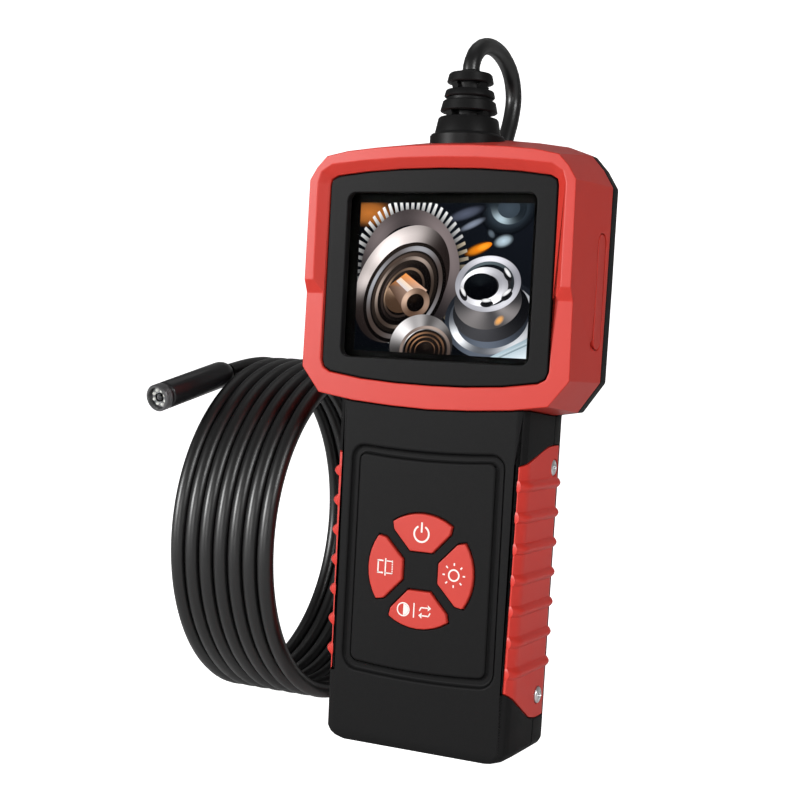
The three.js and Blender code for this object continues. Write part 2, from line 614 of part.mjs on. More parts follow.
addPart('cable_clamp', toGeometry(box(-7, 7, -0.6, 5.2, 161.5, 165.6)), 'blackPlastic');
addPart('usb_socket', toGeometry(box(30, 38.4, 2.5, 5.9, 125, 134.5)
  .subtract(box(36, 40, 3, 5.4, 125.8, 133.7))), 'steel');
addPart('card_socket', toGeometry(box(25, 38.4, 2.5, 4.7, 137.5, 149.6)
  .subtract(box(36, 40, 3, 4.2, 138.2, 148.9))), 'steel');

Object.entries(KEYS).forEach(([name, outline]) => {
  addPart(`${name}_key`, toGeometry(makeKey(outline)), 'redRubber');
  const [x, z] = { power: [0, 11], mirror: [-11, 0], mode: [0, -11], light: [11, 0] }[name];
  const place = [x - 2.2, x + 2.2, -9.5, -8.3, KEYPAD_Z + z - 2.2, KEYPAD_Z + z + 2.2];
  addPart(`${name}_switch`, toGeometry(box(...place)), 'steel');
});

[['left', -1], ['right', 1]].forEach(([name, side]) => {
  addPart(`${name}_grip`, toGeometry(makeGrip(side)), 'redRubber');
  Object.entries(GRIP_SCREWS).forEach(([level, at]) => {
    addPart(`${name}_${level}_grip_screw`, toGeometry(makeGripScrew(side, at)), 'steel');
  });
  addPart(`${name}_rear_screw`, toGeometry(makeRearScrew(side)), 'steel');
});

addPart('port_door', toGeometry(prismX(doorOutline, DOOR_X - DOOR_THICKNESS, DOOR_X)), 'redRubber');
addPart('strain_relief', toGeometry(makeStrainRelief()), 'blackRubber');
addPart('cable_lead', makeTube(LEAD_POINTS, CABLE_RADIUS, 60), 'blackRubber');
addPart('cable_coil', makeCoil(), 'blackRubber');
addPart('cable_tail', makeTube(TAIL_POINTS, CABLE_RADIUS, 8), 'blackRubber');

addProbePart('probe_housing', makeProbeHousing(), 'darkMetal');
addProbePart('probe_nose_ring', makeNoseRing(), 'darkMetal');
addProbePart('probe_lamp_board', makeLampBoard(), 'lamp');
addProbePart('probe_lens', new THREE.CylinderGeometry(1.1, 1.1, 2, 20).rotateX(Math.PI / 2).translate(0, 0, 1.9),
  'blackGloss');
addProbePart('probe_window', new THREE.CylinderGeometry(3.05, 3.05, 0.4, 24).rotateX(Math.PI / 2).translate(0, 0, 0.4),
  'glass');
for (let index = 0; index < LAMP_COUNT; index += 1) {
  addProbePart(`probe_lamp_${index + 1}`, makeLamp(index), 'lamp');
}

export default model;
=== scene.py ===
"""Looks of a hand-held inspection camera: housing, keypad, display, grips, cable and probe."""

import logging
import math
from collections.abc import Callable, Iterable, Sequence
from dataclasses import dataclass
from enum import Enum

import bmesh
import bpy
from mathutils import Matrix, Quaternion, Vector


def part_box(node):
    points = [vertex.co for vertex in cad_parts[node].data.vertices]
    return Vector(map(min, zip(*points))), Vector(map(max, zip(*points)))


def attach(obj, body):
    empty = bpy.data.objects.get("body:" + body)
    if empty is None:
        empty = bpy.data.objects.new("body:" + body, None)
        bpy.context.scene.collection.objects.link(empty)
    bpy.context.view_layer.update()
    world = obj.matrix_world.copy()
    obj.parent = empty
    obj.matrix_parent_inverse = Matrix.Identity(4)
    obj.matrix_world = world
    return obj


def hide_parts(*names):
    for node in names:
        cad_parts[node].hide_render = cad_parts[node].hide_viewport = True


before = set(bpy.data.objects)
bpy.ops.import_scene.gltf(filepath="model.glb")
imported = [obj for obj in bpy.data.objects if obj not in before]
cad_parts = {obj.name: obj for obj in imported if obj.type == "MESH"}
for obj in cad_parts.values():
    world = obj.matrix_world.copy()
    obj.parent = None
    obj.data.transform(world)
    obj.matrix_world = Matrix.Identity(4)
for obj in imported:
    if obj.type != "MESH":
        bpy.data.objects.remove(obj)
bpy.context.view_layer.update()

MM = 0.001
MERGE_WITHIN = 0.004 * MM
PRINT_MERGE = 0.001 * MM
FLAT_WITHIN = math.radians(0.4)
SHADER = "Principled BSDF"
DUST_COLOUR = (0.45, 0.44, 0.42, 1)
GLASS_IOR = 1.12
LOG = logging.getLogger("inspection_camera")
Point = tuple[float, float, float]
Flat = tuple[float, float]
Colour = tuple[float, float, float]


# ---------------------------------------------------------------- shared mesh helpers
def link_mesh(name: str, mesh: bpy.types.Mesh) -> bpy.types.Object:
    """Puts a mesh into the scene as an object at the origin.

    Args:
        name: the object's name.
        mesh: its mesh, already in place and in metres.

    Returns:
        The new object.
    """
    piece = bpy.data.objects.new(name, mesh)
    bpy.context.scene.collection.objects.link(piece)
    return piece


def mesh_from(name: str, points: Sequence[Point], faces: Sequence[Sequence[int]]) -> bpy.types.Object:
    """Makes an object from points in millimetres.

    Args:
        name: the object's name.
        points: its vertices, in millimetres.
        faces: its faces, as lists of vertex numbers.

    Returns:
        The new object, its faces turned as the caller listed them.
    """
    mesh = bpy.data.meshes.new(name)
    mesh.from_pydata([tuple(value * MM for value in point) for point in points], [], faces)
    mesh.validate()
    return link_mesh(name, mesh)


def tidy_mesh(piece: bpy.types.Object, smooth_degrees: float = 30) -> None:
    """Merges doubles, points every face out and smooths shallow edges.

    Args:
        piece: the object to tidy.
        smooth_degrees: edges flatter than this are shaded smooth.
    """
    work = bmesh.new()
    work.from_mesh(piece.data)
    bmesh.ops.remove_doubles(work, verts=work.verts, dist=0.002 * MM)
    bmesh.ops.recalc_face_normals(work, faces=work.faces)
    work.to_mesh(piece.data)
    work.free()
    shade(piece, smooth_degrees)


def shade(piece: bpy.types.Object, smooth_degrees: float) -> None:
    """Smooths faces and keeps edges steeper than smooth_degrees sharp.

    Args:
        piece: the object to shade.
        smooth_degrees: the steepest edge that is shaded smooth.
    """
    piece.data.shade_smooth()
    piece.data.set_sharp_from_angle(angle=math.radians(smooth_degrees))


def apply_modifiers(piece: bpy.types.Object) -> None:
    """Turns a piece's modifiers into plain mesh.

    Args:
        piece: the object whose modifiers are applied and removed.
    """
    graph = bpy.context.evaluated_depsgraph_get()
    made = bpy.data.meshes.new_from_object(piece.evaluated_get(graph))
    piece.modifiers.clear()
    piece.data = made


def dress(
    piece: bpy.types.Object, material: bpy.types.Material, body: str, slot: str, *nodes: str
) -> bpy.types.Object:
    """Gives a finished piece its material and body, and hides the nodes that it stands for.

    Args:
        piece: the finished object.
        material: its material.
        body: the body that it moves with.
        slot: the record's material slot; not used.
        nodes: the nodes that it is shown in place of.

    Returns:
        The same object.
    """
    if not piece.data.materials:
        piece.data.materials.append(material)
    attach(piece, body)
    if nodes:
        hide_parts(*nodes)
    LOG.info("%s: %d faces", piece.name, len(piece.data.polygons))
    return piece


def softened_copy(node: str, width: float, segments: int = 3, limit: float = 24,
                  wide: Callable[[Vector], float] | None = None) -> bpy.types.Object:
    """Copies a solid of the frame, joins its flat faces and rounds its edges.

    Args:
        node: the node to copy.
        width: the edge rounding, in millimetres.
        segments: steps in each rounding.
        limit: edges flatter than this angle in degrees stay as they are.
        wide: for a place in millimetres, the share of the width that edges there are rounded by.

    Returns:
        The rounded copy.
    """
    piece = link_mesh(f"{node}_finished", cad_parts[node].data.copy())
    piece.data.materials.clear()
    work = bmesh.new()
    work.from_mesh(piece.data)
    bmesh.ops.remove_doubles(work, verts=work.verts, dist=MERGE_WITHIN)
    bmesh.ops.dissolve_limit(
        work, angle_limit=FLAT_WITHIN, verts=work.verts, edges=work.edges, delimit={"NORMAL"},
    )
    weight = work.edges.layers.float.new("bevel_weight_edge")
    for edge in work.edges:
        middle = (edge.verts[0].co + edge.verts[1].co) / 2 / MM
        if edge.is_manifold and edge.calc_face_angle() > math.radians(limit):
            edge[weight] = wide(middle) if wide else 1.0
    work.to_mesh(piece.data)
    work.free()
    bevel = piece.modifiers.new("rounded edges", "BEVEL")
    bevel.width = width * MM
    bevel.segments = segments
    bevel.limit_method = "WEIGHT"
    bevel.use_clamp_overlap = False
    apply_modifiers(piece)
    shade(piece, 30)
    level = piece.modifiers.new("even shading", "WEIGHTED_NORMAL")
    level.weight = 100
    level.keep_sharp = True
    apply_modifiers(piece)
    return piece


def lathe(name: str, profile: Sequence[Flat], sides: int, place: Matrix) -> bpy.types.Object:
    """Turns a profile about its axis.

    Args:
        name: the object's name.
        profile: (radius, height) pairs in millimetres, closed on the axis or on itself.
        sides: steps round the axis.
        place: where the axis goes, in millimetres, with the profile's height along local Z.

    Returns:
        The turned object.
    """
    points: list[Point] = []
    for radius, height in profile:
        for step in range(sides):
            angle = 2 * math.pi * step / sides
            local = Vector((radius * math.cos(angle), radius * math.sin(angle), height))
            points.append(tuple(place @ local))
    faces = [
        (row * sides + step, row * sides + (step + 1) % sides,
         (row + 1) * sides + (step + 1) % sides, (row + 1) * sides + step)
        for row in range(len(profile) - 1) for step in range(sides)
    ]
    piece = mesh_from(name, points, faces)
    tidy_mesh(piece)
    return piece


# ---------------------------------------------------------------- finishes
def new_tree(name: str, kind: str, inputs: Iterable[tuple[str, str, object]],
             outputs: Iterable[tuple[str, str]]) -> bpy.types.NodeTree:
    """Makes an empty node tree with named inputs and outputs.

    Args:
        name: the tree's name.
        kind: the type of tree.
        inputs: (name, socket type, default or None) of each input.
        outputs: (name, socket type) of each output.

    Returns:
        The tree, with its input and output nodes.
    """
    tree = bpy.data.node_groups.new(name, kind)
    for label, socket_type, default in inputs:
        socket = tree.interface.new_socket(name=label, in_out="INPUT", socket_type=socket_type)
        if default is not None:
            socket.default_value = default
    for label, socket_type in outputs:
        tree.interface.new_socket(name=label, in_out="OUTPUT", socket_type=socket_type)
    tree.nodes.new("NodeGroupInput")
    tree.nodes.new("NodeGroupOutput")
    return tree


def feed(tree: bpy.types.NodeTree, node: bpy.types.Node, inputs: dict[str | int, object]) -> None:
    """Links or sets a node's inputs.

    Args:
        tree: the node's tree.
        node: the node.
        inputs: a socket to link or a value to set, by the input's name or number.
    """
    for key, value in inputs.items():
        if isinstance(value, bpy.types.NodeSocket):
            tree.links.new(value, node.inputs[key])
        else:
            node.inputs[key].default_value = value


def add_node(tree: bpy.types.NodeTree, kind: str, inputs: dict[str | int, object] | None = None,
             **settings: object) -> bpy.types.Node:
    """Adds a node.

    Args:
        tree: the tree to add it to.
        kind: the type of node.
        inputs: what its inputs get, as for feed.
        settings: its other properties.

    Returns:
        The node.
    """
    node = tree.nodes.new(kind)
    for key, value in settings.items():
        setattr(node, key, value)
    feed(tree, node, inputs or {})
    return node


def math_node(tree: bpy.types.NodeTree, operation: str, *values: object) -> bpy.types.NodeSocket:
    """Adds a Math node.

    Args:
        tree: the tree to add it to.
        operation: the node's operation.
        values: a socket or a number for each of its inputs.

    Returns:
        Its output socket.
    """
    return add_node(tree, "ShaderNodeMath", dict(enumerate(values)), operation=operation).outputs[0]


def new_material(name: str) -> tuple[bpy.types.Material, bpy.types.NodeTree]:
    """Makes a material.

    Args:
        name: its name.

    Returns:
        The material and its node tree.
    """
    material = bpy.data.materials.new(name)
    material.use_nodes = True
    return material, material.node_tree


def moulded_surface() -> bpy.types.NodeTree:
    """Shared effect of a moulded or machined surface: fine grain, slow mottling and dust.

    Returns:
        A group that puts out a colour, a roughness and a bump height.
    """
    group = new_tree(
        "moulded surface", "ShaderNodeTree",
        [("Colour", "NodeSocketColor", (0.5, 0.5, 0.5, 1)), ("Roughness", "NodeSocketFloat", 0.5),
         ("Grain Size", "NodeSocketFloat", 4000), ("Mottle", "NodeSocketFloat", 0.1),
         ("Dust", "NodeSocketFloat", 0.02)],
        [("Colour", "NodeSocketColor"), ("Roughness", "NodeSocketFloat"), ("Height", "NodeSocketFloat")],
    )
    source = group.nodes["Group Input"].outputs
    place = add_node(group, "ShaderNodeTexCoord").outputs["Object"]
    grain = add_node(group, "ShaderNodeTexNoise", {
        "Vector": place, "Scale": source["Grain Size"],
    }).outputs["Fac"]
    slow = add_node(group, "ShaderNodeTexNoise", {"Vector": place, "Scale": 45, "Detail": 3}).outputs["Fac"]
    amount = math_node(group, "MULTIPLY", math_node(group, "SUBTRACT", slow, 0.5), source["Mottle"])
    gain = math_node(group, "ADD", amount, 1)
    tinted = add_node(group, "ShaderNodeVectorMath", {0: source["Colour"], "Scale": gain}, operation="SCALE")
    dust = math_node(group, "MULTIPLY", grain, source["Dust"])
    mixed = {0: dust, 6: tinted.outputs["Vector"], 7: DUST_COLOUR}
    dusted = add_node(group, "ShaderNodeMix", mixed, data_type="RGBA").outputs[2]
    rough = math_node(group, "ADD", source["Roughness"], amount)
    feed(group, group.nodes["Group Output"], {"Colour": dusted, "Roughness": rough, "Height": grain})
    return group


@dataclass(frozen=True)
class Finish:
    """A finish: a colour with grain, mottling and gloss."""

    name: str
    colour: Colour
    roughness: float
    metallic: float = 0.0
    grain_size: float = 3500.0
    grain_depth: float = 0.02
    mottle: float = 0.08
    dust: float = 0.01
    coat: float = 0.0
    specular: float = 0.5
    glow: float = 0.0

    def build(self, surface: bpy.types.NodeTree) -> bpy.types.Material:
        """Builds the material.

        Args:
            surface: the shared moulded surface group.

        Returns:
            The material.
        """
        material, tree = new_material(self.name)
        colour = (*self.colour, 1)
        effect = add_node(tree, "ShaderNodeGroup", {
            "Colour": colour, "Roughness": self.roughness, "Grain Size": self.grain_size,
            "Mottle": self.mottle, "Dust": self.dust,
        }, node_tree=surface).outputs
        bump = add_node(tree, "ShaderNodeBump", {
            "Strength": 1, "Distance": self.grain_depth * MM, "Height": effect["Height"],
        })
        feed(tree, tree.nodes[SHADER], {
            "Metallic": self.metallic, "Coat Weight": self.coat, "Coat Roughness": 0.08,
            "Specular IOR Level": self.specular, "Emission Color": colour, "Emission Strength": self.glow,
            "Base Color": effect["Colour"], "Roughness": effect["Roughness"],
            "Normal": bump.outputs["Normal"],
        })
        return material


class Coat(Enum):
    """Every finish on the camera."""

    RED_SHELL = Finish("red moulded shell", (0.50, 0.026, 0.0155), 0.42, grain_depth=0.008, specular=0.35)
    RED_GRIP = Finish(
        "red soft grip", (0.60, 0.027, 0.016), 0.42, grain_depth=0.01, mottle=0.06, specular=0.4
    )
    RED_KEY = Finish("red key rubber", (0.50, 0.032, 0.020), 0.45, grain_depth=0.008, specular=0.35)
    BLACK_SHELL = Finish(
        "black moulded shell", (0.0068, 0.0068, 0.0071), 0.5, grain_depth=0.006, specular=0.07
    )
    BEZEL = Finish("black bezel", (0.0066, 0.0066, 0.0069), 0.45, grain_depth=0.004, specular=0.07)
    BLACK_RUBBER = Finish(
        "black boot rubber", (0.003, 0.003, 0.0032), 0.45, grain_depth=0.008, specular=0.16
    )
    CABLE = Finish(
        "cable jacket", (0.0012, 0.0012, 0.0014), 0.36, grain_depth=0.002, mottle=0.04, specular=0.6
    )
    STEEL = Finish("plated screw steel", (0.86, 0.86, 0.87), 0.34, 1.0, grain_depth=0.004, mottle=0.06)
    PLAIN_STEEL = Finish("plain sheet steel", (0.55, 0.55, 0.56), 0.35, 1.0, grain_depth=0.006)
    DARK_METAL = Finish(
        "black anodised probe", (0.012, 0.012, 0.0135), 0.3, 0.3, grain_depth=0.003, coat=0.2
    )
    BOARD = Finish("green circuit board", (0.02, 0.14, 0.05), 0.35, grain_depth=0.01)
    CELL = Finish("blue cell wrap", (0.03, 0.12, 0.38), 0.3, grain_depth=0.004)
    WHITE_PRINT = Finish("white key print", (0.78, 0.72, 0.68), 0.5, grain_depth=0.004, mottle=0.03)
    LAMP_BOARD = Finish("white lamp board", (0.42, 0.43, 0.44), 0.45, grain_depth=0.004)
    LAMP = Finish("lamp lens", (0.92, 0.92, 0.88), 0.15, coat=0.6, grain_depth=0.0, glow=0.45)
    LENS = Finish("camera lens", (0.10, 0.105, 0.115), 0.12, coat=1.0, grain_depth=0.0, mottle=0.02)
    RING_METAL = Finish("worn probe ring", (0.16, 0.16, 0.165), 0.3, 0.85, grain_depth=0.004)
    PRINT_BLACK = Finish("black glass print", (0.002, 0.002, 0.002), 0.6, grain_depth=0.0, specular=0.05)


class Palette:
    """The materials, built once from the finishes."""

    def __init__(self) -> None:
        """Builds every material on the shared surface group."""
        surface = moulded_surface()
        self.made = {coat: coat.value.build(surface) for coat in Coat}
        self.picture = self.lit_picture()
        self.window = self.clear_glass("display cover glass", 0.03)
        self.probe_window = self.clear_glass("probe cover glass", 0.02)

    def __getitem__(self, coat: Coat) -> bpy.types.Material:
        """The material of a finish."""
        return self.made[coat]

    @staticmethod
    def clear_glass(name: str, roughness: float) -> bpy.types.Material:
        """Makes a clear glass.

        Args:
            name: the material's name.
            roughness: how much it blurs.

        Returns:
            The glass material.
        """
        material, tree = new_material(name)
        place = add_node(tree, "ShaderNodeTexCoord").outputs["Object"]
        smear = add_node(tree, "ShaderNodeTexNoise", {"Vector": place, "Scale": 60}).outputs["Fac"]
        spread = add_node(tree, "ShaderNodeMapRange", {
            "Value": smear, "To Min": roughness * 0.5, "To Max": roughness * 1.5,
        }).outputs["Result"]
        feed(tree, tree.nodes[SHADER], {"Transmission Weight": 1, "IOR": GLASS_IOR, "Roughness": spread})
        return material

    @staticmethod
    def lit_picture() -> bpy.types.Material:
        """Makes the display's glowing picture, coloured by each vertex's tint.

        Returns:
            The material.
        """
        material, tree = new_material("display_picture")
        tint = add_node(tree, "ShaderNodeAttribute", attribute_name="tint")
        feed(tree, tree.nodes[SHADER], {
            "Base Color": (0.0, 0.0, 0.0, 1), "Roughness": 0.6, "Specular IOR Level": 0.0,
            "Emission Strength": 1.0, "Emission Color": tint.outputs["Color"],
        })
        return material


# ---------------------------------------------------------------- studio
@dataclass
class Studio:
    """Camera, soft lights and a pale floor."""

    camera_at: Point = (180.49, -403.45, 114.07)
    look_along: Point = (-0.4382, 0.8983, -0.0315)
    roll: float = 3.03
    lens: float = 67.94
    floor_glow: float = 1.1
    surround: float = 0.15

    def camera(self) -> None:
        """Makes the scene's camera."""
        data = bpy.data.cameras.new("camera")
        data.lens = self.lens
        data.sensor_width = 36
        data.clip_start = 0.01
        view = bpy.data.objects.new("camera", data)
        bpy.context.scene.collection.objects.link(view)
        facing = Vector(self.look_along).to_track_quat("-Z", "Y")
        turn = facing @ Quaternion((0, 0, 1), math.radians(self.roll))
        view.matrix_world = Matrix.LocRotScale(Vector(self.camera_at) * MM, turn, None)
        bpy.context.scene.camera = view

    def area(self, name: str, at: Point, toward: Point, size: float, power: float) -> None:
        """Makes a square soft light.

        Args:
            name: the light's name.
            at: its place in metres.
            toward: the point that it faces, in metres.
            size: its side in metres.
            power: its power in watts.
        """
        data = bpy.data.lights.new(name, "AREA")
        data.size = size
        data.energy = power
        lamp = bpy.data.objects.new(name, data)
        bpy.context.scene.collection.objects.link(lamp)
        aim = (Vector(toward) - Vector(at)).to_track_quat("-Z", "Y")
        lamp.matrix_world = Matrix.LocRotScale(Vector(at), aim, None)

    def floor(self) -> None:
        """Makes a pale floor that sweeps up into a backdrop."""
        profile = [(-4.0, 0.0), (2.2, 0.0)]
        profile += [(2.2 + math.sin(a) * 0.8, 0.8 - math.cos(a) * 0.8) for a in (0.4, 0.8, 1.2, math.pi / 2)]
        profile += [(3.0, 4.0)]
        points = [(x * 1000, y * 1000, z * 1000) for y, z in profile for x in (-5.0, 5.0)]
        faces = [(2 * i, 2 * i + 1, 2 * i + 3, 2 * i + 2) for i in range(len(profile) - 1)]
        sweep = mesh_from("pale sweep", points, faces)
        shade(sweep, 40)
        material, tree = new_material("pale sweep")
        path = add_node(tree, "ShaderNodeLightPath").outputs["Is Camera Ray"]
        feed(tree, tree.nodes[SHADER], {
            "Base Color": (0.9, 0.9, 0.9, 1), "Roughness": 0.9, "Specular IOR Level": 0,
            "Emission Color": (1, 1, 1, 1),
            "Emission Strength": math_node(tree, "MULTIPLY", path, self.floor_glow),
        })
        sweep.data.materials.append(material)

    def world(self) -> None:
        """Sets an even, dim surround."""
        world = bpy.data.worlds.new("surround")
        world.use_nodes = True
        tree = world.node_tree
        path = add_node(tree, "ShaderNodeLightPath").outputs["Is Camera Ray"]
        seen = math_node(tree, "MULTIPLY_ADD", path, 1.0, self.surround)
        feed(tree, tree.nodes["Background"], {"Color": (1, 1, 1, 1), "Strength": seen})
        bpy.context.scene.world = world
        bpy.context.scene.view_settings.view_transform = "Standard"

    def build(self) -> None:
        """Builds the studio."""
        self.camera()
        self.floor()
        self.world()
        self.area("front key light", (-0.95, -1.15, 0.4), (0, 0, 0.1), 0.35, 19)
        self.area("front fill light", (0.15, -1.5, 0.25), (0, 0, 0.1), 0.5, 5)
        self.area("right fill light", (1.25, -0.7, 0.75), (0, 0, 0.1), 0.4, 10)
        self.area("top light", (-0.2, 0.3, 1.4), (0, 0, 0.1), 0.8, 0.8)


# ---------------------------------------------------------------- cable
@dataclass
class Cable:
    """The cable, from the boot, over its loop, down to the coil and forward to the probe."""

    diameter: float = 5.0
    coil_y: float = 35.0
    coil_radius: float = 52.6
    coil_start_x: float = -46.1
    coil_pitch: float = 5.15
    coil_from: float = -60.0
    coil_to: float = 2610.0
    boot_exit: Point = (0, 2.3, 196.9)
    lead: tuple[Point, ...] = (
        (0, 2.3, 196.9), (0, 2.35, 198.6), (0, 4.6, 202.4), (0, 9.6, 205.6), (0, 17.2, 207),
        (0, 26, 205.6),
        (0, 33, 201.4), (0, 36, 195), (0, 34.6, 188), (0, 30.6, 180), (0, 24.8, 165), (0, 21.2, 147),
        (-1, 20.4, 122), (-4, 20.4, 92), (-9, 20.6, 58), (-15, 21.2, 31), (-20.5, 22.6, 14),
        (-27, 25.8, 5.2), (-33.5, 30, 2.9), (-39.5, 37.5, 2.75), (-43.5, 48.5, 4.5),
    )
    tail: tuple[Point, ...] = ((-84.9, 26, 107.1), (-86.05, 14.7, 104.92))

    def coil_points(self) -> list[Point]:
        """The coil's turns, climbing away from the housing."""
        points = []
        steps = round((self.coil_to - self.coil_from) / 15)
        for step in range(steps + 1):
            turn = self.coil_from + (self.coil_to - self.coil_from) * step / steps
            angle = math.radians(turn)
            points.append((
                self.coil_start_x - self.coil_pitch * (turn - self.coil_from) / 360,
                self.coil_y + self.coil_radius * math.cos(angle),
                self.coil_radius + self.diameter / 2 + self.coil_radius * math.sin(angle),
            ))
        return points

    @staticmethod
    def smooth(points: Sequence[Point], spacing: float) -> list[Vector]:
        """Follows a chain of points with a smooth curve.

        Args:
            points: the chain, in millimetres.
            spacing: about how far apart the curve's points are.

        Returns:
            The curve's points.
        """
        chain = [Vector(point) for point in points]
        chain = [2 * chain[0] - chain[1], *chain, 2 * chain[-1] - chain[-2]]
        curve: list[Vector] = []
        for before, start, end, after in zip(chain, chain[1:], chain[2:], chain[3:]):
            knots = [0.0]
            for a, b in ((before, start), (start, end), (end, after)):
                knots.append(knots[-1] + math.sqrt((b - a).length))
            t0, t1, t2, t3 = knots
            count = max(1, round((end - start).length / spacing))
            for step in range(count):
                t = t1 + (t2 - t1) * step / count
                a1 = before.lerp(start, (t - t0) / (t1 - t0))
                a2 = start.lerp(end, (t - t1) / (t2 - t1))
                a3 = end.lerp(after, (t - t2) / (t3 - t2))
                b1 = a1.lerp(a2, (t - t0) / (t2 - t0))
                b2 = a2.lerp(a3, (t - t1) / (t3 - t1))
                curve.append(b1.lerp(b2, (t - t1) / (t2 - t1)))
        curve.append(chain[-2])
        return curve

    def build(self, palette: Palette, on_cable: Sequence[str]) -> None:
        """Builds the cable as one piece of its real length.

        Args:
            palette: the materials.
            on_cable: the names of the pieces at its far end; not used.
        """
        route = self.smooth([*self.lead, *self.coil_points(), *self.tail], 2.4)
        data = bpy.data.curves.new("cable", "CURVE")
        data.dimensions = "3D"
        data.bevel_depth = self.diameter / 2 * MM
        data.bevel_resolution = 6
        data.use_fill_caps = True
        line = data.splines.new("POLY")
        line.points.add(len(route) - 1)
        for place, point in zip(line.points, route):
            place.co = (*(point * MM), 1)
        line.use_smooth = True
        data.materials.append(palette[Coat.CABLE])
        cable = bpy.data.objects.new("cable", data)
        bpy.context.scene.collection.objects.link(cable)
        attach(cable, "device")
        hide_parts("cable_lead", "cable_coil", "cable_tail")


# ---------------------------------------------------------------- repeated pieces by Geometry Nodes
def node_modifier(piece: bpy.types.Object, tree: bpy.types.NodeTree, values: dict[str, object]) -> None:
    """Puts a Geometry Nodes tree on a piece, sets its inputs and turns the result into plain mesh.

    Args:
        piece: the object that carries the tree.
        tree: the tree.
        values: the value of each named input.
    """
    modifier = piece.modifiers.new(tree.name, "NODES")
    modifier.node_group = tree
    for item in tree.interface.items_tree:
        if item.item_type == "SOCKET" and item.in_out == "INPUT" and item.name in values:
            modifier[item.identifier] = values[item.name]
    apply_modifiers(piece)


def geometry_tree(name: str, inputs: Iterable[tuple[str, str, object]]) -> bpy.types.NodeTree:
    """Starts a Geometry Nodes tree.

    Args:
        name: the tree's name.
        inputs: (name, socket type, default or None) of each input after the geometry.

    Returns:
        The tree, with its input and output nodes.
    """
    shape = ("Geometry", "NodeSocketGeometry")
    return new_tree(name, "GeometryNodeTree", [(*shape, None), *inputs], [shape])


def end_tree(tree: bpy.types.NodeTree, geometry: bpy.types.NodeSocket) -> None:
    """Ends a Geometry Nodes tree: its copies become mesh and get the Material input.

    Args:
        tree: the tree.
        geometry: what it has made.
    """
    real = add_node(tree, "GeometryNodeRealizeInstances", {0: geometry}).outputs[0]
    material = tree.nodes["Group Input"].outputs["Material"]
    paint = add_node(tree, "GeometryNodeSetMaterial", {"Geometry": real, "Material": material})
    feed(tree, tree.nodes["Group Output"], {0: paint.outputs[0]})


def stamp_tree() -> bpy.types.NodeTree:
    """Tree that puts one shape, turned about its axis, on every point of the carrier."""
    tree = geometry_tree("stamped pieces", [
        ("Shape", "NodeSocketObject", None), ("Material", "NodeSocketMaterial", None),
        ("Turn", "NodeSocketFloat", 0.0), ("Seed", "NodeSocketInt", 3),
    ])
    source = tree.nodes["Group Input"].outputs
    shape = add_node(tree, "GeometryNodeObjectInfo", {"Object": source["Shape"]})
    facing = add_node(tree, "GeometryNodeInputNamedAttribute", {"Name": "outward"}, data_type="FLOAT_VECTOR")
    align = add_node(tree, "FunctionNodeAlignRotationToVector", {"Vector": facing.outputs[0]}, axis="Z")
    chance = add_node(tree, "FunctionNodeRandomValue", {2: 0.0, 3: source["Turn"], "Seed": source["Seed"]})
    spin = add_node(tree, "ShaderNodeCombineXYZ", {"Z": chance.outputs[1]})
    both = {0: align.outputs[0], 1: spin.outputs[0]}
    turned = add_node(tree, "FunctionNodeRotateRotation", both, rotation_space="LOCAL")
    placed = add_node(tree, "GeometryNodeInstanceOnPoints", {
        "Points": source["Geometry"], "Instance": shape.outputs["Geometry"], "Rotation": turned.outputs[0],
    })
    end_tree(tree, placed.outputs[0])
    return tree


def stamp(name: str, tree: bpy.types.NodeTree, shape: bpy.types.Object, material: bpy.types.Material,
          spots: Sequence[tuple[Point, Point]], turn: float = 0.0) -> bpy.types.Object:
    """Puts a shape on each spot.

    Args:
        name: the result's name.
        tree: the stamping tree.
        shape: the shape, with its outer face up local Z.
        material: the material of every copy.
        spots: (place, outward direction) pairs, places in millimetres.
        turn: the largest random turn about the outward direction, in radians.

    Returns:
        One object with every copy.
    """
    carrier = mesh_from(name, [place for place, _ in spots], [])
    outward = carrier.data.attributes.new("outward", "FLOAT_VECTOR", "POINT")
    for entry, (_, direction) in zip(outward.data, spots):
        entry.vector = direction
    node_modifier(carrier, tree, {"Shape": shape, "Material": material, "Turn": turn})
    shade(carrier, 30)
    return carrier


def spare_shape(shape: bpy.types.Object) -> None:
    """Removes a shape that only served as a pattern.

    Args:
        shape: the pattern object.
    """
    bpy.data.objects.remove(shape, do_unlink=True)


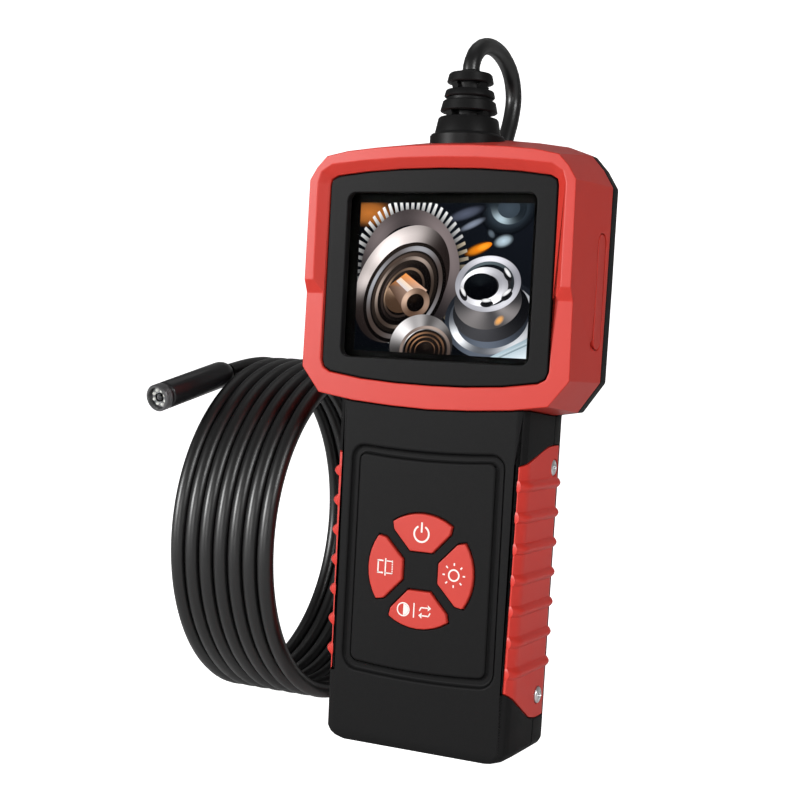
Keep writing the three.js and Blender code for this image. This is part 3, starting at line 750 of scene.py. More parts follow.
@dataclass
class Screws:
    """Cross-head screws of the grips and the back cover."""

    head_radius: float = 2.4
    grip_x: float = 29.75
    grip_spots: tuple[tuple[str, Flat], ...] = (("upper", (10, 83)), ("lower", (7.7, 16.9)))
    rear_x: float = 30.9
    rear_spot: Flat = (16.85, 163.4)

    def shape(self) -> bpy.types.Object:
        """A domed head with a cross recess, its rim at z = 0 and its shank below."""
        radius = self.head_radius
        profile = [(0, -1.6), (radius, -1.6), (radius, -0.35), (radius * 0.94, -0.12), (radius * 0.8, 0.05),
                   (radius * 0.5, 0.2), (0, 0.24)]
        head = lathe("screw_head", profile, 36, Matrix.Identity(4))
        cutter_mesh = bpy.data.meshes.new("cross_recess")
        work = bmesh.new()
        for turn in (0, math.pi / 2):
            place = Matrix.Rotation(turn, 4, "Z") @ Matrix.Diagonal((3.1 * MM, 0.62 * MM, 1.6 * MM, 1))
            bmesh.ops.create_cube(work, size=1, matrix=Matrix.Translation((0, 0, 0.25 * MM)) @ place)
        work.to_mesh(cutter_mesh)
        work.free()
        cutter = link_mesh("cross_recess", cutter_mesh)
        cut = head.modifiers.new("cross_recess", "BOOLEAN")
        cut.object = cutter
        cut.use_self = True
        bevel = head.modifiers.new("worn edge", "BEVEL")
        bevel.width = 0.05 * MM
        bevel.segments = 2
        bevel.angle_limit = math.radians(40)
        apply_modifiers(head)
        spare_shape(cutter)
        return head

    def build(self, palette: Palette, tree: bpy.types.NodeTree) -> None:
        """Builds all six screws.

        Args:
            palette: the materials.
            tree: the stamping tree.
        """
        pattern = self.shape()
        spots = []
        nodes = []
        for side_name, side in (("left", -1), ("right", 1)):
            for level, (y, z) in self.grip_spots:
                spots.append(((side * self.grip_x, y, z), (side, 0, 0)))
                nodes.append(f"{side_name}_{level}_grip_screw")
            spots.append(((side * self.rear_x, *self.rear_spot), (0, 1, 0)))
            nodes.append(f"{side_name}_rear_screw")
        screws = stamp("screws", tree, pattern, palette[Coat.STEEL], spots, 1.5)
        spare_shape(pattern)
        dress(screws, palette[Coat.STEEL], "device", "screw_steel", *nodes)


# ---------------------------------------------------------------- housing
@dataclass
class Housing:
    """Front and back shells, red frame, bezel, port door and the pieces inside."""

    shell_edge: float = 0.35
    frame_edge: float = 0.3
    groove_edge: float = 0.85
    groove_half_width: float = 25.0
    groove_reach: tuple[float, float] = (19.0, 88.5)
    front_y: float = -13.0

    def groove_share(self, place: Vector) -> float:
        """How much of the full rounding an edge of the front shell gets.

        Args:
            place: the edge's middle, in millimetres.

        Returns:
            1 round the panel's groove, less everywhere else.
        """
        low, high = self.groove_reach
        beside_keys = math.hypot(place.x, place.z - 52) < 17.5
        on_groove = abs(place.x) < self.groove_half_width and low < place.z < high and not beside_keys
        return 1.0 if on_groove and place.y < self.front_y else self.shell_edge / self.groove_edge

    def build(self, palette: Palette) -> None:
        """Builds the housing.

        Args:
            palette: the materials.
        """
        rounded = (
            ("front_shell", self.groove_edge, Coat.BLACK_SHELL, "black_shell", "device"),
            ("rear_shell", self.shell_edge, Coat.BLACK_SHELL, "black_shell", "device"),
            ("head_bumper", self.frame_edge, Coat.RED_SHELL, "red_shell", "device"),
            ("screen_bezel", 0.4, Coat.BEZEL, "bezel", "device"),
            ("port_door", 0.25, Coat.RED_SHELL, "red_shell", "port_door"),
        )
        for node, width, coat, slot, body in rounded:
            wide = self.groove_share if node == "front_shell" else None
            dress(softened_copy(node, width, wide=wide), palette[coat], body, slot, node)
        plain = {
            "display_panel": Coat.PLAIN_STEEL, "main_board": Coat.BOARD, "keypad_board": Coat.BOARD,
            "battery_cell": Coat.CELL, "cable_clamp": Coat.BLACK_SHELL, "usb_socket": Coat.PLAIN_STEEL,
            "card_socket": Coat.PLAIN_STEEL,
        }
        plain |= {f"{key}_switch": Coat.PLAIN_STEEL for key in ("power", "mirror", "mode", "light")}
        for node, coat in plain.items():
            repaint(node, palette[coat])


def repaint(node: str, material: bpy.types.Material) -> None:
    """Gives a solid of the frame a procedural material.

    Args:
        node: the node's name.
        material: its material.
    """
    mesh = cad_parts[node].data
    mesh.materials.clear()
    mesh.materials.append(material)


# ---------------------------------------------------------------- grips
def rib_tree() -> bpy.types.NodeTree:
    """Tree that raises evenly spaced ribs along a surface's normal."""
    tree = geometry_tree("grip ribs", [
        ("Top Rib", "NodeSocketFloat", 0.0786), ("Pitch", "NodeSocketFloat", 0.00875),
        ("Count", "NodeSocketFloat", 7.0), ("Height", "NodeSocketFloat", 0.0013),
        ("Half Width", "NodeSocketFloat", 0.0016), ("Material", "NodeSocketMaterial", None),
    ])
    source = tree.nodes["Group Input"].outputs
    place = add_node(tree, "GeometryNodeInputPosition").outputs[0]
    level = add_node(tree, "ShaderNodeSeparateXYZ", {0: place}).outputs["Z"]
    below_top = math_node(tree, "SUBTRACT", source["Top Rib"], level)
    number = math_node(tree, "ROUND", math_node(tree, "DIVIDE", below_top, source["Pitch"]))
    last = math_node(tree, "SUBTRACT", source["Count"], 1.0)
    nearest = math_node(tree, "MINIMUM", math_node(tree, "MAXIMUM", number, 0.0), last)
    middle = math_node(tree, "MULTIPLY", nearest, source["Pitch"])
    away = math_node(tree, "ABSOLUTE", math_node(tree, "SUBTRACT", below_top, middle))
    share = math_node(tree, "MINIMUM", math_node(tree, "DIVIDE", away, source["Half Width"]), 1.0)
    wave = math_node(tree, "COSINE", math_node(tree, "MULTIPLY", share, math.pi / 2))
    crest = math_node(tree, "POWER", wave, 0.8)
    mask = add_node(tree, "GeometryNodeInputNamedAttribute", {"Name": "rib share"}, data_type="FLOAT")
    full = math_node(tree, "MULTIPLY", crest, source["Height"])
    rise = math_node(tree, "MULTIPLY", full, mask.outputs[0])
    outward = add_node(tree, "GeometryNodeInputNamedAttribute", {"Name": "outward"}, data_type="FLOAT_VECTOR")
    shift = add_node(tree, "ShaderNodeVectorMath", {0: outward.outputs[0], "Scale": rise}, operation="SCALE")
    moved = {"Geometry": source["Geometry"], "Offset": shift.outputs[0]}
    end_tree(tree, add_node(tree, "GeometryNodeSetPosition", moved).outputs[0])
    return tree


@dataclass
class Grips:
    """Ribbed red pads let into the handle's sides."""

    hole_middle: float = 29
    hole_radius: float = 2.65
    hole_depth: float = 12
    inner_x: float = 27.0
    front_y: float = -13.55
    back_y: float = 13.3
    rows: int = 340
    section: tuple[Flat, ...] = (
        (27.9, -13.55), (28.5, -12.6), (29.2, -11.2), (29.5, -9.5), (29.5, -4), (29.5, 2), (29.5, 8),
        (29.5, 11.8), (29.4, 12.8), (29.2, 13.3),
    )
    top_edge: tuple[Flat, ...] = (
        (-13.6, 84.0), (-8, 85.7), (0, 88.0), (4, 89.0), (9, 89.4), (13.4, 89.4)
    )
    bottom_edge: tuple[Flat, ...] = ((-13.6, 20.7), (-6, 16.0), (2, 11.4), (7, 10.5), (13.4, 10.5))
    screw_spots: tuple[Flat, ...] = ((10, 83), (7.7, 16.9))

    @staticmethod
    def along(edge: Sequence[Flat], y: float) -> float:
        """Reads an edge's height at a depth.

        Args:
            edge: (depth, height) points.
            y: the depth.

        Returns:
            The height there.
        """
        for (y0, z0), (y1, z1) in zip(edge, edge[1:]):
            if y <= y1:
                return z0 + (z1 - z0) * max(0.0, (y - y0) / (y1 - y0))
        return edge[-1][1]

    def fine_section(self) -> list[tuple[float, float]]:
        """The handle's side, from the front corner to the back, in small steps."""
        fine = []
        for (x0, y0), (x1, y1) in zip(self.section, self.section[1:]):
            steps = max(1, round(math.hypot(x1 - x0, y1 - y0) / 0.8))
            fine += [(x0 + (x1 - x0) * i / steps, y0 + (y1 - y0) * i / steps) for i in range(steps)]
        return [*fine, self.section[-1]]

    def pad(self, name: str, side: int) -> bpy.types.Object:
        """Makes one pad's outer skin, still without ribs.

        Args:
            name: the pad's name.
            side: 1 for the right, -1 for the left.

        Returns:
            The skin, with the outward direction and the ribs' share of their height at each point.
        """
        fine = self.fine_section()
        points: list[Point] = []
        outward: list[Vector] = []
        shares: list[float] = []
        for column, (x, y) in enumerate(fine):
            before, after = fine[max(column - 1, 0)], fine[min(column + 1, len(fine) - 1)]
            normal = Vector((after[1] - before[1], before[0] - after[0], 0)).normalized()
            low, high = self.along(self.bottom_edge, y), self.along(self.top_edge, y)
            share = 0.85 + 0.15 * min(1.0, max(0.0, min(y - self.front_y, self.back_y - y) / 1.6))
            for row in range(self.rows + 1):
                z = low + (high - low) * row / self.rows
                taper = 0.45 * (z - 48) / 48
                points += [(side * (x + taper), y, z), (side * (self.inner_x + taper), y, z)]
                outward += [Vector((side * normal.x, normal.y, 0)), Vector((0, 0, 0))]
                shares += [share, 0.0]
        faces = self.closed_faces(len(fine), self.rows + 1, side)
        pad = mesh_from(name, points, faces)
        direction = pad.data.attributes.new("outward", "FLOAT_VECTOR", "POINT")
        for entry, vector in zip(direction.data, outward):
            entry.vector = vector
        raised = pad.data.attributes.new("rib share", "FLOAT", "POINT")
        for entry, share in zip(raised.data, shares):
            entry.value = share
        return pad

    @staticmethod
    def closed_faces(columns: int, rows: int, side: int) -> list[tuple[int, ...]]:
        """Joins an outer and an inner grid, whose points alternate, into a closed pad.

        Args:
            columns: points along the depth.
            rows: points along the height.
            side: 1 for the right, -1 for the left.

        Returns:
            The faces, all facing out.
        """
        def outer(column: int, row: int) -> int:
            """The number of an outer point, whose inner one follows it."""
            return 2 * (column * rows + row)

        faces: list[tuple[int, ...]] = []
        for c in range(columns - 1):
            for r in range(rows - 1):
                quad = (outer(c, r), outer(c + 1, r), outer(c + 1, r + 1), outer(c, r + 1))
                faces += [quad, tuple(index + 1 for index in quad[::-1])]
        rim = [(c, 0) for c in range(columns)] + [(columns - 1, r) for r in range(1, rows)]
        rim += [(c, rows - 1) for c in range(columns - 2, -1, -1)] + [(0, r) for r in range(rows - 2, 0, -1)]
        for start, end in zip(rim, [*rim[1:], rim[0]]):
            a, b = outer(*start), outer(*end)
            faces.append((b, a, a + 1, b + 1))
        return faces if side > 0 else [face[::-1] for face in faces]

    def build(self, palette: Palette) -> None:
        """Builds both grips.

        Args:
            palette: the materials.
        """
        tree = rib_tree()
        for name, side in (("left", -1), ("right", 1)):
            pad = self.pad(f"{name}_grip_pad", side)
            node_modifier(pad, tree, {"Material": palette[Coat.RED_GRIP]})
            holes = self.screw_holes(side)
            cut = pad.modifiers.new("screw_holes", "BOOLEAN")
            cut.object = holes
            apply_modifiers(pad)
            spare_shape(holes)
            shade(pad, 38)
            dress(pad, palette[Coat.RED_GRIP], "device", "red_grip", f"{name}_grip")

    def screw_holes(self, side: int) -> bpy.types.Object:
        """Makes the cutter of one pad's two screw holes.

        Args:
            side: 1 for the right, -1 for the left.

        Returns:
            Two cylinders along X.
        """
        mesh = bpy.data.meshes.new("screw_holes")
        work = bmesh.new()
        for y, z in self.screw_spots:
            middle = Matrix.Translation(Vector((side * self.hole_middle, y, z)) * MM)
            place = middle @ Matrix.Rotation(math.pi / 2, 4, "Y")
            bmesh.ops.create_cone(
                work, cap_ends=True, segments=40, radius1=self.hole_radius * MM,
                radius2=self.hole_radius * MM, depth=self.hole_depth * MM, matrix=place,
            )
        work.to_mesh(mesh)
        work.free()
        return link_mesh("screw_holes", mesh)


# ---------------------------------------------------------------- keypad
class Symbol(Enum):
    """What is printed on each key."""

    POWER = "power"
    LIGHT = "light"
    MIRROR = "mirror"
    MODE = "mode"


class Print:
    """Collects flat printed shapes on one plane facing the front."""

    def __init__(self, y: float) -> None:
        """Starts an empty print.

        Args:
            y: the plane's depth in millimetres.
        """
        self.y = y
        self.points: list[Point] = []
        self.faces: list[list[int]] = []

    def polygon(self, outline: Sequence[Flat]) -> None:
        """Adds a filled convex outline of (x, z) points."""
        area = sum(x0 * z1 - x1 * z0 for (x0, z0), (x1, z1) in zip(outline, [*outline[1:], outline[0]]))
        start = len(self.points)
        self.points += [(x, self.y, z) for x, z in outline]
        order = list(range(start, len(self.points)))
        self.faces.append(order if area > 0 else order[::-1])

    def bar(self, start: Flat, end: Flat, width: float) -> None:
        """Adds a straight bar between two points."""
        along = (Vector(end) - Vector(start)).normalized() * width / 2
        across = Vector((-along.y, along.x))
        corners = [
            Vector(start) - across, Vector(end) - across, Vector(end) + across, Vector(start) + across
        ]
        self.polygon([tuple(corner) for corner in corners])

    def arc(self, centre: Flat, radius: float, width: float, first: float = 0, last: float = 360) -> None:
        """Adds an arc from one angle to another, in degrees counted from +X."""
        steps = max(8, round((last - first) / 8))
        for step in range(steps):
            a = math.radians(first + (last - first) * step / steps)
            b = math.radians(first + (last - first) * (step + 1) / steps)
            inner, outer = radius - width / 2, radius + width / 2
            self.polygon([
                (centre[0] + r * math.cos(t), centre[1] + r * math.sin(t))
                for r, t in ((inner, a), (outer, a), (outer, b), (inner, b))
            ])

    def piece(self, name: str) -> bpy.types.Object:
        """Makes the print's mesh, with its doubles merged."""
        made = mesh_from(name, self.points, self.faces)
        work = bmesh.new()
        work.from_mesh(made.data)
        bmesh.ops.remove_doubles(work, verts=work.verts, dist=PRINT_MERGE)
        work.to_mesh(made.data)
        work.free()
        return made


@dataclass
class Keypad:
    """Four red keys, each with a white symbol."""

    top_y: float = -14.9
    lift: float = 0.02
    stroke: float = 0.54
    edge: float = 0.4

    def power(self, ink: Print) -> None:
        """Draws the power symbol."""
        ink.arc((0, 62.8), 2.3, self.stroke, 118, 422)
        ink.bar((0, 63.2), (0, 66.1), self.stroke)

    def light(self, ink: Print) -> None:
        """Draws the lamp brightness symbol."""
        centre = (10.7, 52.1)
        ink.arc(centre, 1.55, self.stroke * 0.85)
        for step in range(8):
            angle = math.radians(45 * step)
            ray = Vector((math.cos(angle), math.sin(angle)))
            ink.bar(tuple(Vector(centre) + ray * 2.75), tuple(Vector(centre) + ray * 3.5), 0.42)

    def mirror(self, ink: Print) -> None:
        """Draws the mirror symbol: two panes about an axis, the right one dotted."""
        x, z, half = -10.9, 52.2, 1.75
        ink.bar((x, z - 2.5), (x, z + 2.5), self.stroke * 0.75)
        ink.bar((x - 2.35, z - half), (x - 2.35, z + half), self.stroke * 0.8)
        for level in (-half, half):
            ink.bar((x - 2.6, z + level), (x - 0.7, z + level), self.stroke * 0.8)
            ink.bar((x, z + level), (x + 2.3, z + level), self.stroke * 0.6)
        for step in range(8):
            low = z - half + step * 0.5
            ink.bar((x + 2.2, low), (x + 2.2, low + 0.3), self.stroke * 0.7)

    def mode(self, ink: Print) -> None:
        """Draws the mode symbols: a half filled disc, a divider and turning arrows."""
        x, z = -4.5, 40.7
        ink.arc((x, z), 1.85, self.stroke * 0.7)
        half_disc = [
            (x + 1.6 * math.cos(math.radians(a)), z + 1.6 * math.sin(math.radians(a)))
            for a in range(-80, 90, 10)
        ]
        ink.polygon([(x, z - 1.6), *half_disc, (x, z + 1.6)])
        ink.bar((-1.15, 38.7), (-1.15, 42.9), self.stroke * 0.7)
        x = 2.3
        for side in (-1, 1):
            ink.bar(
                (x - side * 1.7, z + side * 0.15), (x - side * 1.2, z + side * 1.15),
                self.stroke * 0.7
            )
            ink.bar(
                (x - side * 1.2, z + side * 1.15), (x + side * 1.1, z + side * 1.15),
                self.stroke * 0.7
            )
            tip_x, tip_z = x + side * 1.95, z + side * 1.15
            base = tip_x - side * 1.0
            ink.polygon([(tip_x, tip_z), (base, tip_z + side * 0.85), (base, tip_z - side * 0.85)])

    def build(self, palette: Palette) -> None:
        """Builds the keys and their print.

        Args:
            palette: the materials.
        """
        draw: dict[Symbol, Callable[[Print], None]] = {
            Symbol.POWER: self.power, Symbol.LIGHT: self.light, Symbol.MIRROR: self.mirror,
            Symbol.MODE: self.mode,
        }
        for symbol, ink_with in draw.items():
            node = f"{symbol.value}_key"
            dress(softened_copy(node, self.edge, 4), palette[Coat.RED_KEY], node, "red_key", node)
            ink = Print(self.top_y - self.lift)
            ink_with(ink)
            dress(ink.piece(f"{symbol.value}_key_print"), palette[Coat.WHITE_PRINT], node, "red_key")


# ---------------------------------------------------------------- strain relief
@dataclass
class StrainRelief:
    """Stepped rubber boot on top of the head, with ribs across its slots."""

    axis_y: float = 2.3
    sides: int = 72
    profile: tuple[Flat, ...] = (
        (0, 172), (10.9, 172), (11.0, 177.6), (10.6, 178.1), (9.75, 178.5), (9.6, 179.0), (8.85, 182.8),
        (8.5, 183.2), (5.4, 183.3), (5.4, 184.8), (8.1, 184.9), (8.4, 185.2), (7.75, 187.9), (7.4, 188.2),
        (6.5, 188.3), (6.5, 189.1), (7.2, 189.2), (7.45, 189.5), (7.1, 191.0), (6.8, 191.3), (4.7, 191.4),
        (4.7, 193.3), (6.6, 193.4), (6.85, 193.7), (6.35, 195.9), (5.9, 196.3), (3.4, 196.4),
        (3.1, 196.6), (3.0, 197.1),
        (2.7, 197.3), (0, 197.3),
    )
    slots: tuple[tuple[float, float, float], ...] = ((183.0, 185.1, 8.0), (191.1, 193.6, 6.3))
    rib_turns: tuple[float, ...] = (-115, -25, 65, 155)
    rib_width: float = 2.3
    rib_depth: float = 2.6
    rib_inset: float = 1.6

    def build(self, palette: Palette, tree: bpy.types.NodeTree) -> None:
        """Builds the boot.

        Args:
            palette: the materials.
            tree: the stamping tree.
        """
        place = Matrix.Translation((0, self.axis_y, 0))
        boot = lathe("strain_relief_boot", self.profile, self.sides, place)
        shade(boot, 32)
        dress(boot, palette[Coat.BLACK_RUBBER], "device", "black_rubber", "strain_relief")
        for index, (low, high, radius) in enumerate(self.slots):
            rib_mesh = bpy.data.meshes.new("slot_rib")
            work = bmesh.new()
            size = Matrix.Diagonal((self.rib_width * MM, (high - low) * MM, self.rib_depth * MM, 1))
            bmesh.ops.create_cube(work, size=1, matrix=size)
            work.to_mesh(rib_mesh)
            work.free()
            rib = link_mesh("slot_rib", rib_mesh)
            spots = []
            for turn in self.rib_turns:
                angle = math.radians(turn)
                outward = (math.cos(angle), math.sin(angle), 0)
                reach = radius - self.rib_inset
                middle = (outward[0] * reach, self.axis_y + outward[1] * reach, (low + high) / 2)
                spots.append((middle, outward))
            ribs = stamp(f"slot_ribs_{index + 1}", tree, rib, palette[Coat.BLACK_RUBBER], spots)
            spare_shape(rib)
            dress(ribs, palette[Coat.BLACK_RUBBER], "device", "black_rubber")


# ---------------------------------------------------------------- display
class Picture:
    """A lit picture made of flat tinted shapes, each a hair in front of the last."""

    contrast = 1.3
    gain = 1.3
    layer_gap = 0.003
    brightest = 1.2
    crown = 1.12

    def __init__(self, left: float, bottom: float, width: float, height: float, back_y: float) -> None:
        """Starts an empty picture.

        Args:
            left: its left edge in millimetres.
            bottom: its bottom edge in millimetres.
            width: its width in millimetres.
            height: its height in millimetres.
            back_y: the depth of its rearmost layer in millimetres.
        """
        self.left, self.bottom, self.width, self.height = left, bottom, width, height
        self.y = back_y
        self.points: list[Point] = []
        self.tints: list[Colour] = []
        self.faces: list[list[int]] = []

    def add(
        self, places: Sequence[Flat], tints: Sequence[Colour], faces: Sequence[Sequence[int]]
    ) -> None:
        """Adds one layer, clipped to the picture's edges.

        Args:
            places: (u, v) points, from 0 to 1 across and up the picture.
            tints: one colour for each point.
            faces: lists of point numbers.
        """
        self.y -= self.layer_gap
        work = bmesh.new()
        layer = work.loops.layers.float_color.new("tint")
        verts = [work.verts.new((u, v, 0)) for u, v in places]
        for face in faces:
            made = work.faces.new([verts[index] for index in face])
            for loop, index in zip(made.loops, face):
                loop[layer] = (*tints[index], 1)
        for edge, outward in (
            ((0, 0, 0), (-1, 0, 0)), ((1, 0, 0), (1, 0, 0)), ((0, 0, 0), (0, -1, 0)),
            ((0, 1, 0), (0, 1, 0))
        ):
            bmesh.ops.bisect_plane(
                work, geom=[*work.verts, *work.edges, *work.faces], plane_co=edge, plane_no=outward,
                clear_outer=True,
            )
        for face in work.faces:
            start = len(self.points)
            for loop in face.loops:
                u, v = loop.vert.co.x, loop.vert.co.y
                self.points.append((self.left + u * self.width, self.y, self.bottom + v * self.height))
                self.tints.append(tuple(loop[layer])[:3])
            self.faces.append(list(range(start, len(self.points))))
        work.free()

    def ring(self, centre: Flat, axes: Flat, turn: float, inner: float, dark: Colour, bright: Colour,
             glints: Sequence[tuple[float, float, float]], steps: int = 96, edge: float = 1.0) -> None:
        """Adds an elliptical ring whose metal brightens round it.

        Args:
            centre: its middle in the picture's (u, v).
            axes: its outer half axes, as shares of the picture's width.
            turn: how far it is turned, in degrees.
            inner: its inner edge as a share of the outer, 0 for a disc.
            dark: the colour in shade.
            bright: the colour in a glint.
            glints: (angle in degrees, half width in degrees, strength) of each glint.
            steps: steps round it.
            edge: the outer edge's brightness against the inner's.
        """
        ratio = self.width / self.height
        spin = math.radians(turn)
        places: list[Flat] = []
        tints: list[Colour] = []
        for step in range(steps):
            angle = 360 * step / steps
            light = 0.0
            for glint, spread, strength in glints:
                away = abs((angle - glint + 180) % 360 - 180)
                light += strength * math.exp(-((away / spread) ** 2))
            light = min(light, self.brightest)
            for share, gain in (
                (inner, 1.0), ((inner + 1) / 2, (1 + edge) / 2 * self.crown), (1.0, edge)
            ):
                x = axes[0] * share * math.cos(math.radians(angle))
                y = axes[1] * share * math.sin(math.radians(angle))
                u = centre[0] + x * math.cos(spin) - y * math.sin(spin)
                v = centre[1] + (x * math.sin(spin) + y * math.cos(spin)) * ratio
                places.append((u, v))
                tints.append(tuple((d + (b - d) * light) * gain for d, b in zip(dark, bright)))
        faces = []
        for step in range(steps):
            a, b = 3 * step, 3 * ((step + 1) % steps)
            faces += [(a, b, b + 1, a + 1), (a + 1, b + 1, b + 2, a + 2)]
        if inner == 0:
            faces = [face for face in faces if len({places[i] for i in face}) == 4] + [
                (3 * step, 3 * ((step + 1) % steps) + 1, 3 * step + 1) for step in range(steps)
            ]
        self.add(places, tints, [face[::-1] for face in faces])

    def blob(self, centre: Flat, axes: Flat, turn: float, core: Colour, rim: Colour) -> None:
        """Adds a soft blurred highlight.

        Args:
            centre: its middle.
            axes: its half axes, as shares of the picture's width.
            turn: how far it is turned, in degrees.
            core: the colour in the middle.
            rim: the colour at its edge, which matches what is behind it.
        """
        ratio = self.width / self.height
        spin = math.radians(turn)
        places = [centre]
        tints = [core]
        steps = 40
        for share, mix in ((0.55, 0.7), (0.8, 0.25), (1.0, 0.0)):
            for step in range(steps):
                angle = 2 * math.pi * step / steps
                x, y = axes[0] * share * math.cos(angle), axes[1] * share * math.sin(angle)
                places.append((centre[0] + x * math.cos(spin) - y * math.sin(spin),
                               centre[1] + (x * math.sin(spin) + y * math.cos(spin)) * ratio))
                tints.append(tuple(r + (c - r) * mix for r, c in zip(rim, core)))
        faces: list[Sequence[int]] = [(0, 1 + step, 1 + (step + 1) % steps) for step in range(steps)]
        for band in range(2):
            low, high = 1 + band * steps, 1 + (band + 1) * steps
            faces += [(
                low + s, high + s, high + (s + 1) % steps, low + (s + 1) % steps
            ) for s in range(steps)]
        self.add(places, tints, faces)

    def shape(self, places: Sequence[Flat], tints: Sequence[Colour]) -> None:
        """Adds one filled convex shape."""
        self.add(places, tints, [list(range(len(places)))])

    def piece(self, name: str) -> bpy.types.Object:
        """Makes the picture's mesh, facing the front."""
        made = mesh_from(name, self.points, self.faces)
        colours = made.data.color_attributes.new("tint", "FLOAT_COLOR", "POINT")
        for entry, tint in zip(colours.data, self.tints):
            entry.color = (*(self.gain * max(value, 0.0) ** self.contrast for value in tint), 1)
        return made


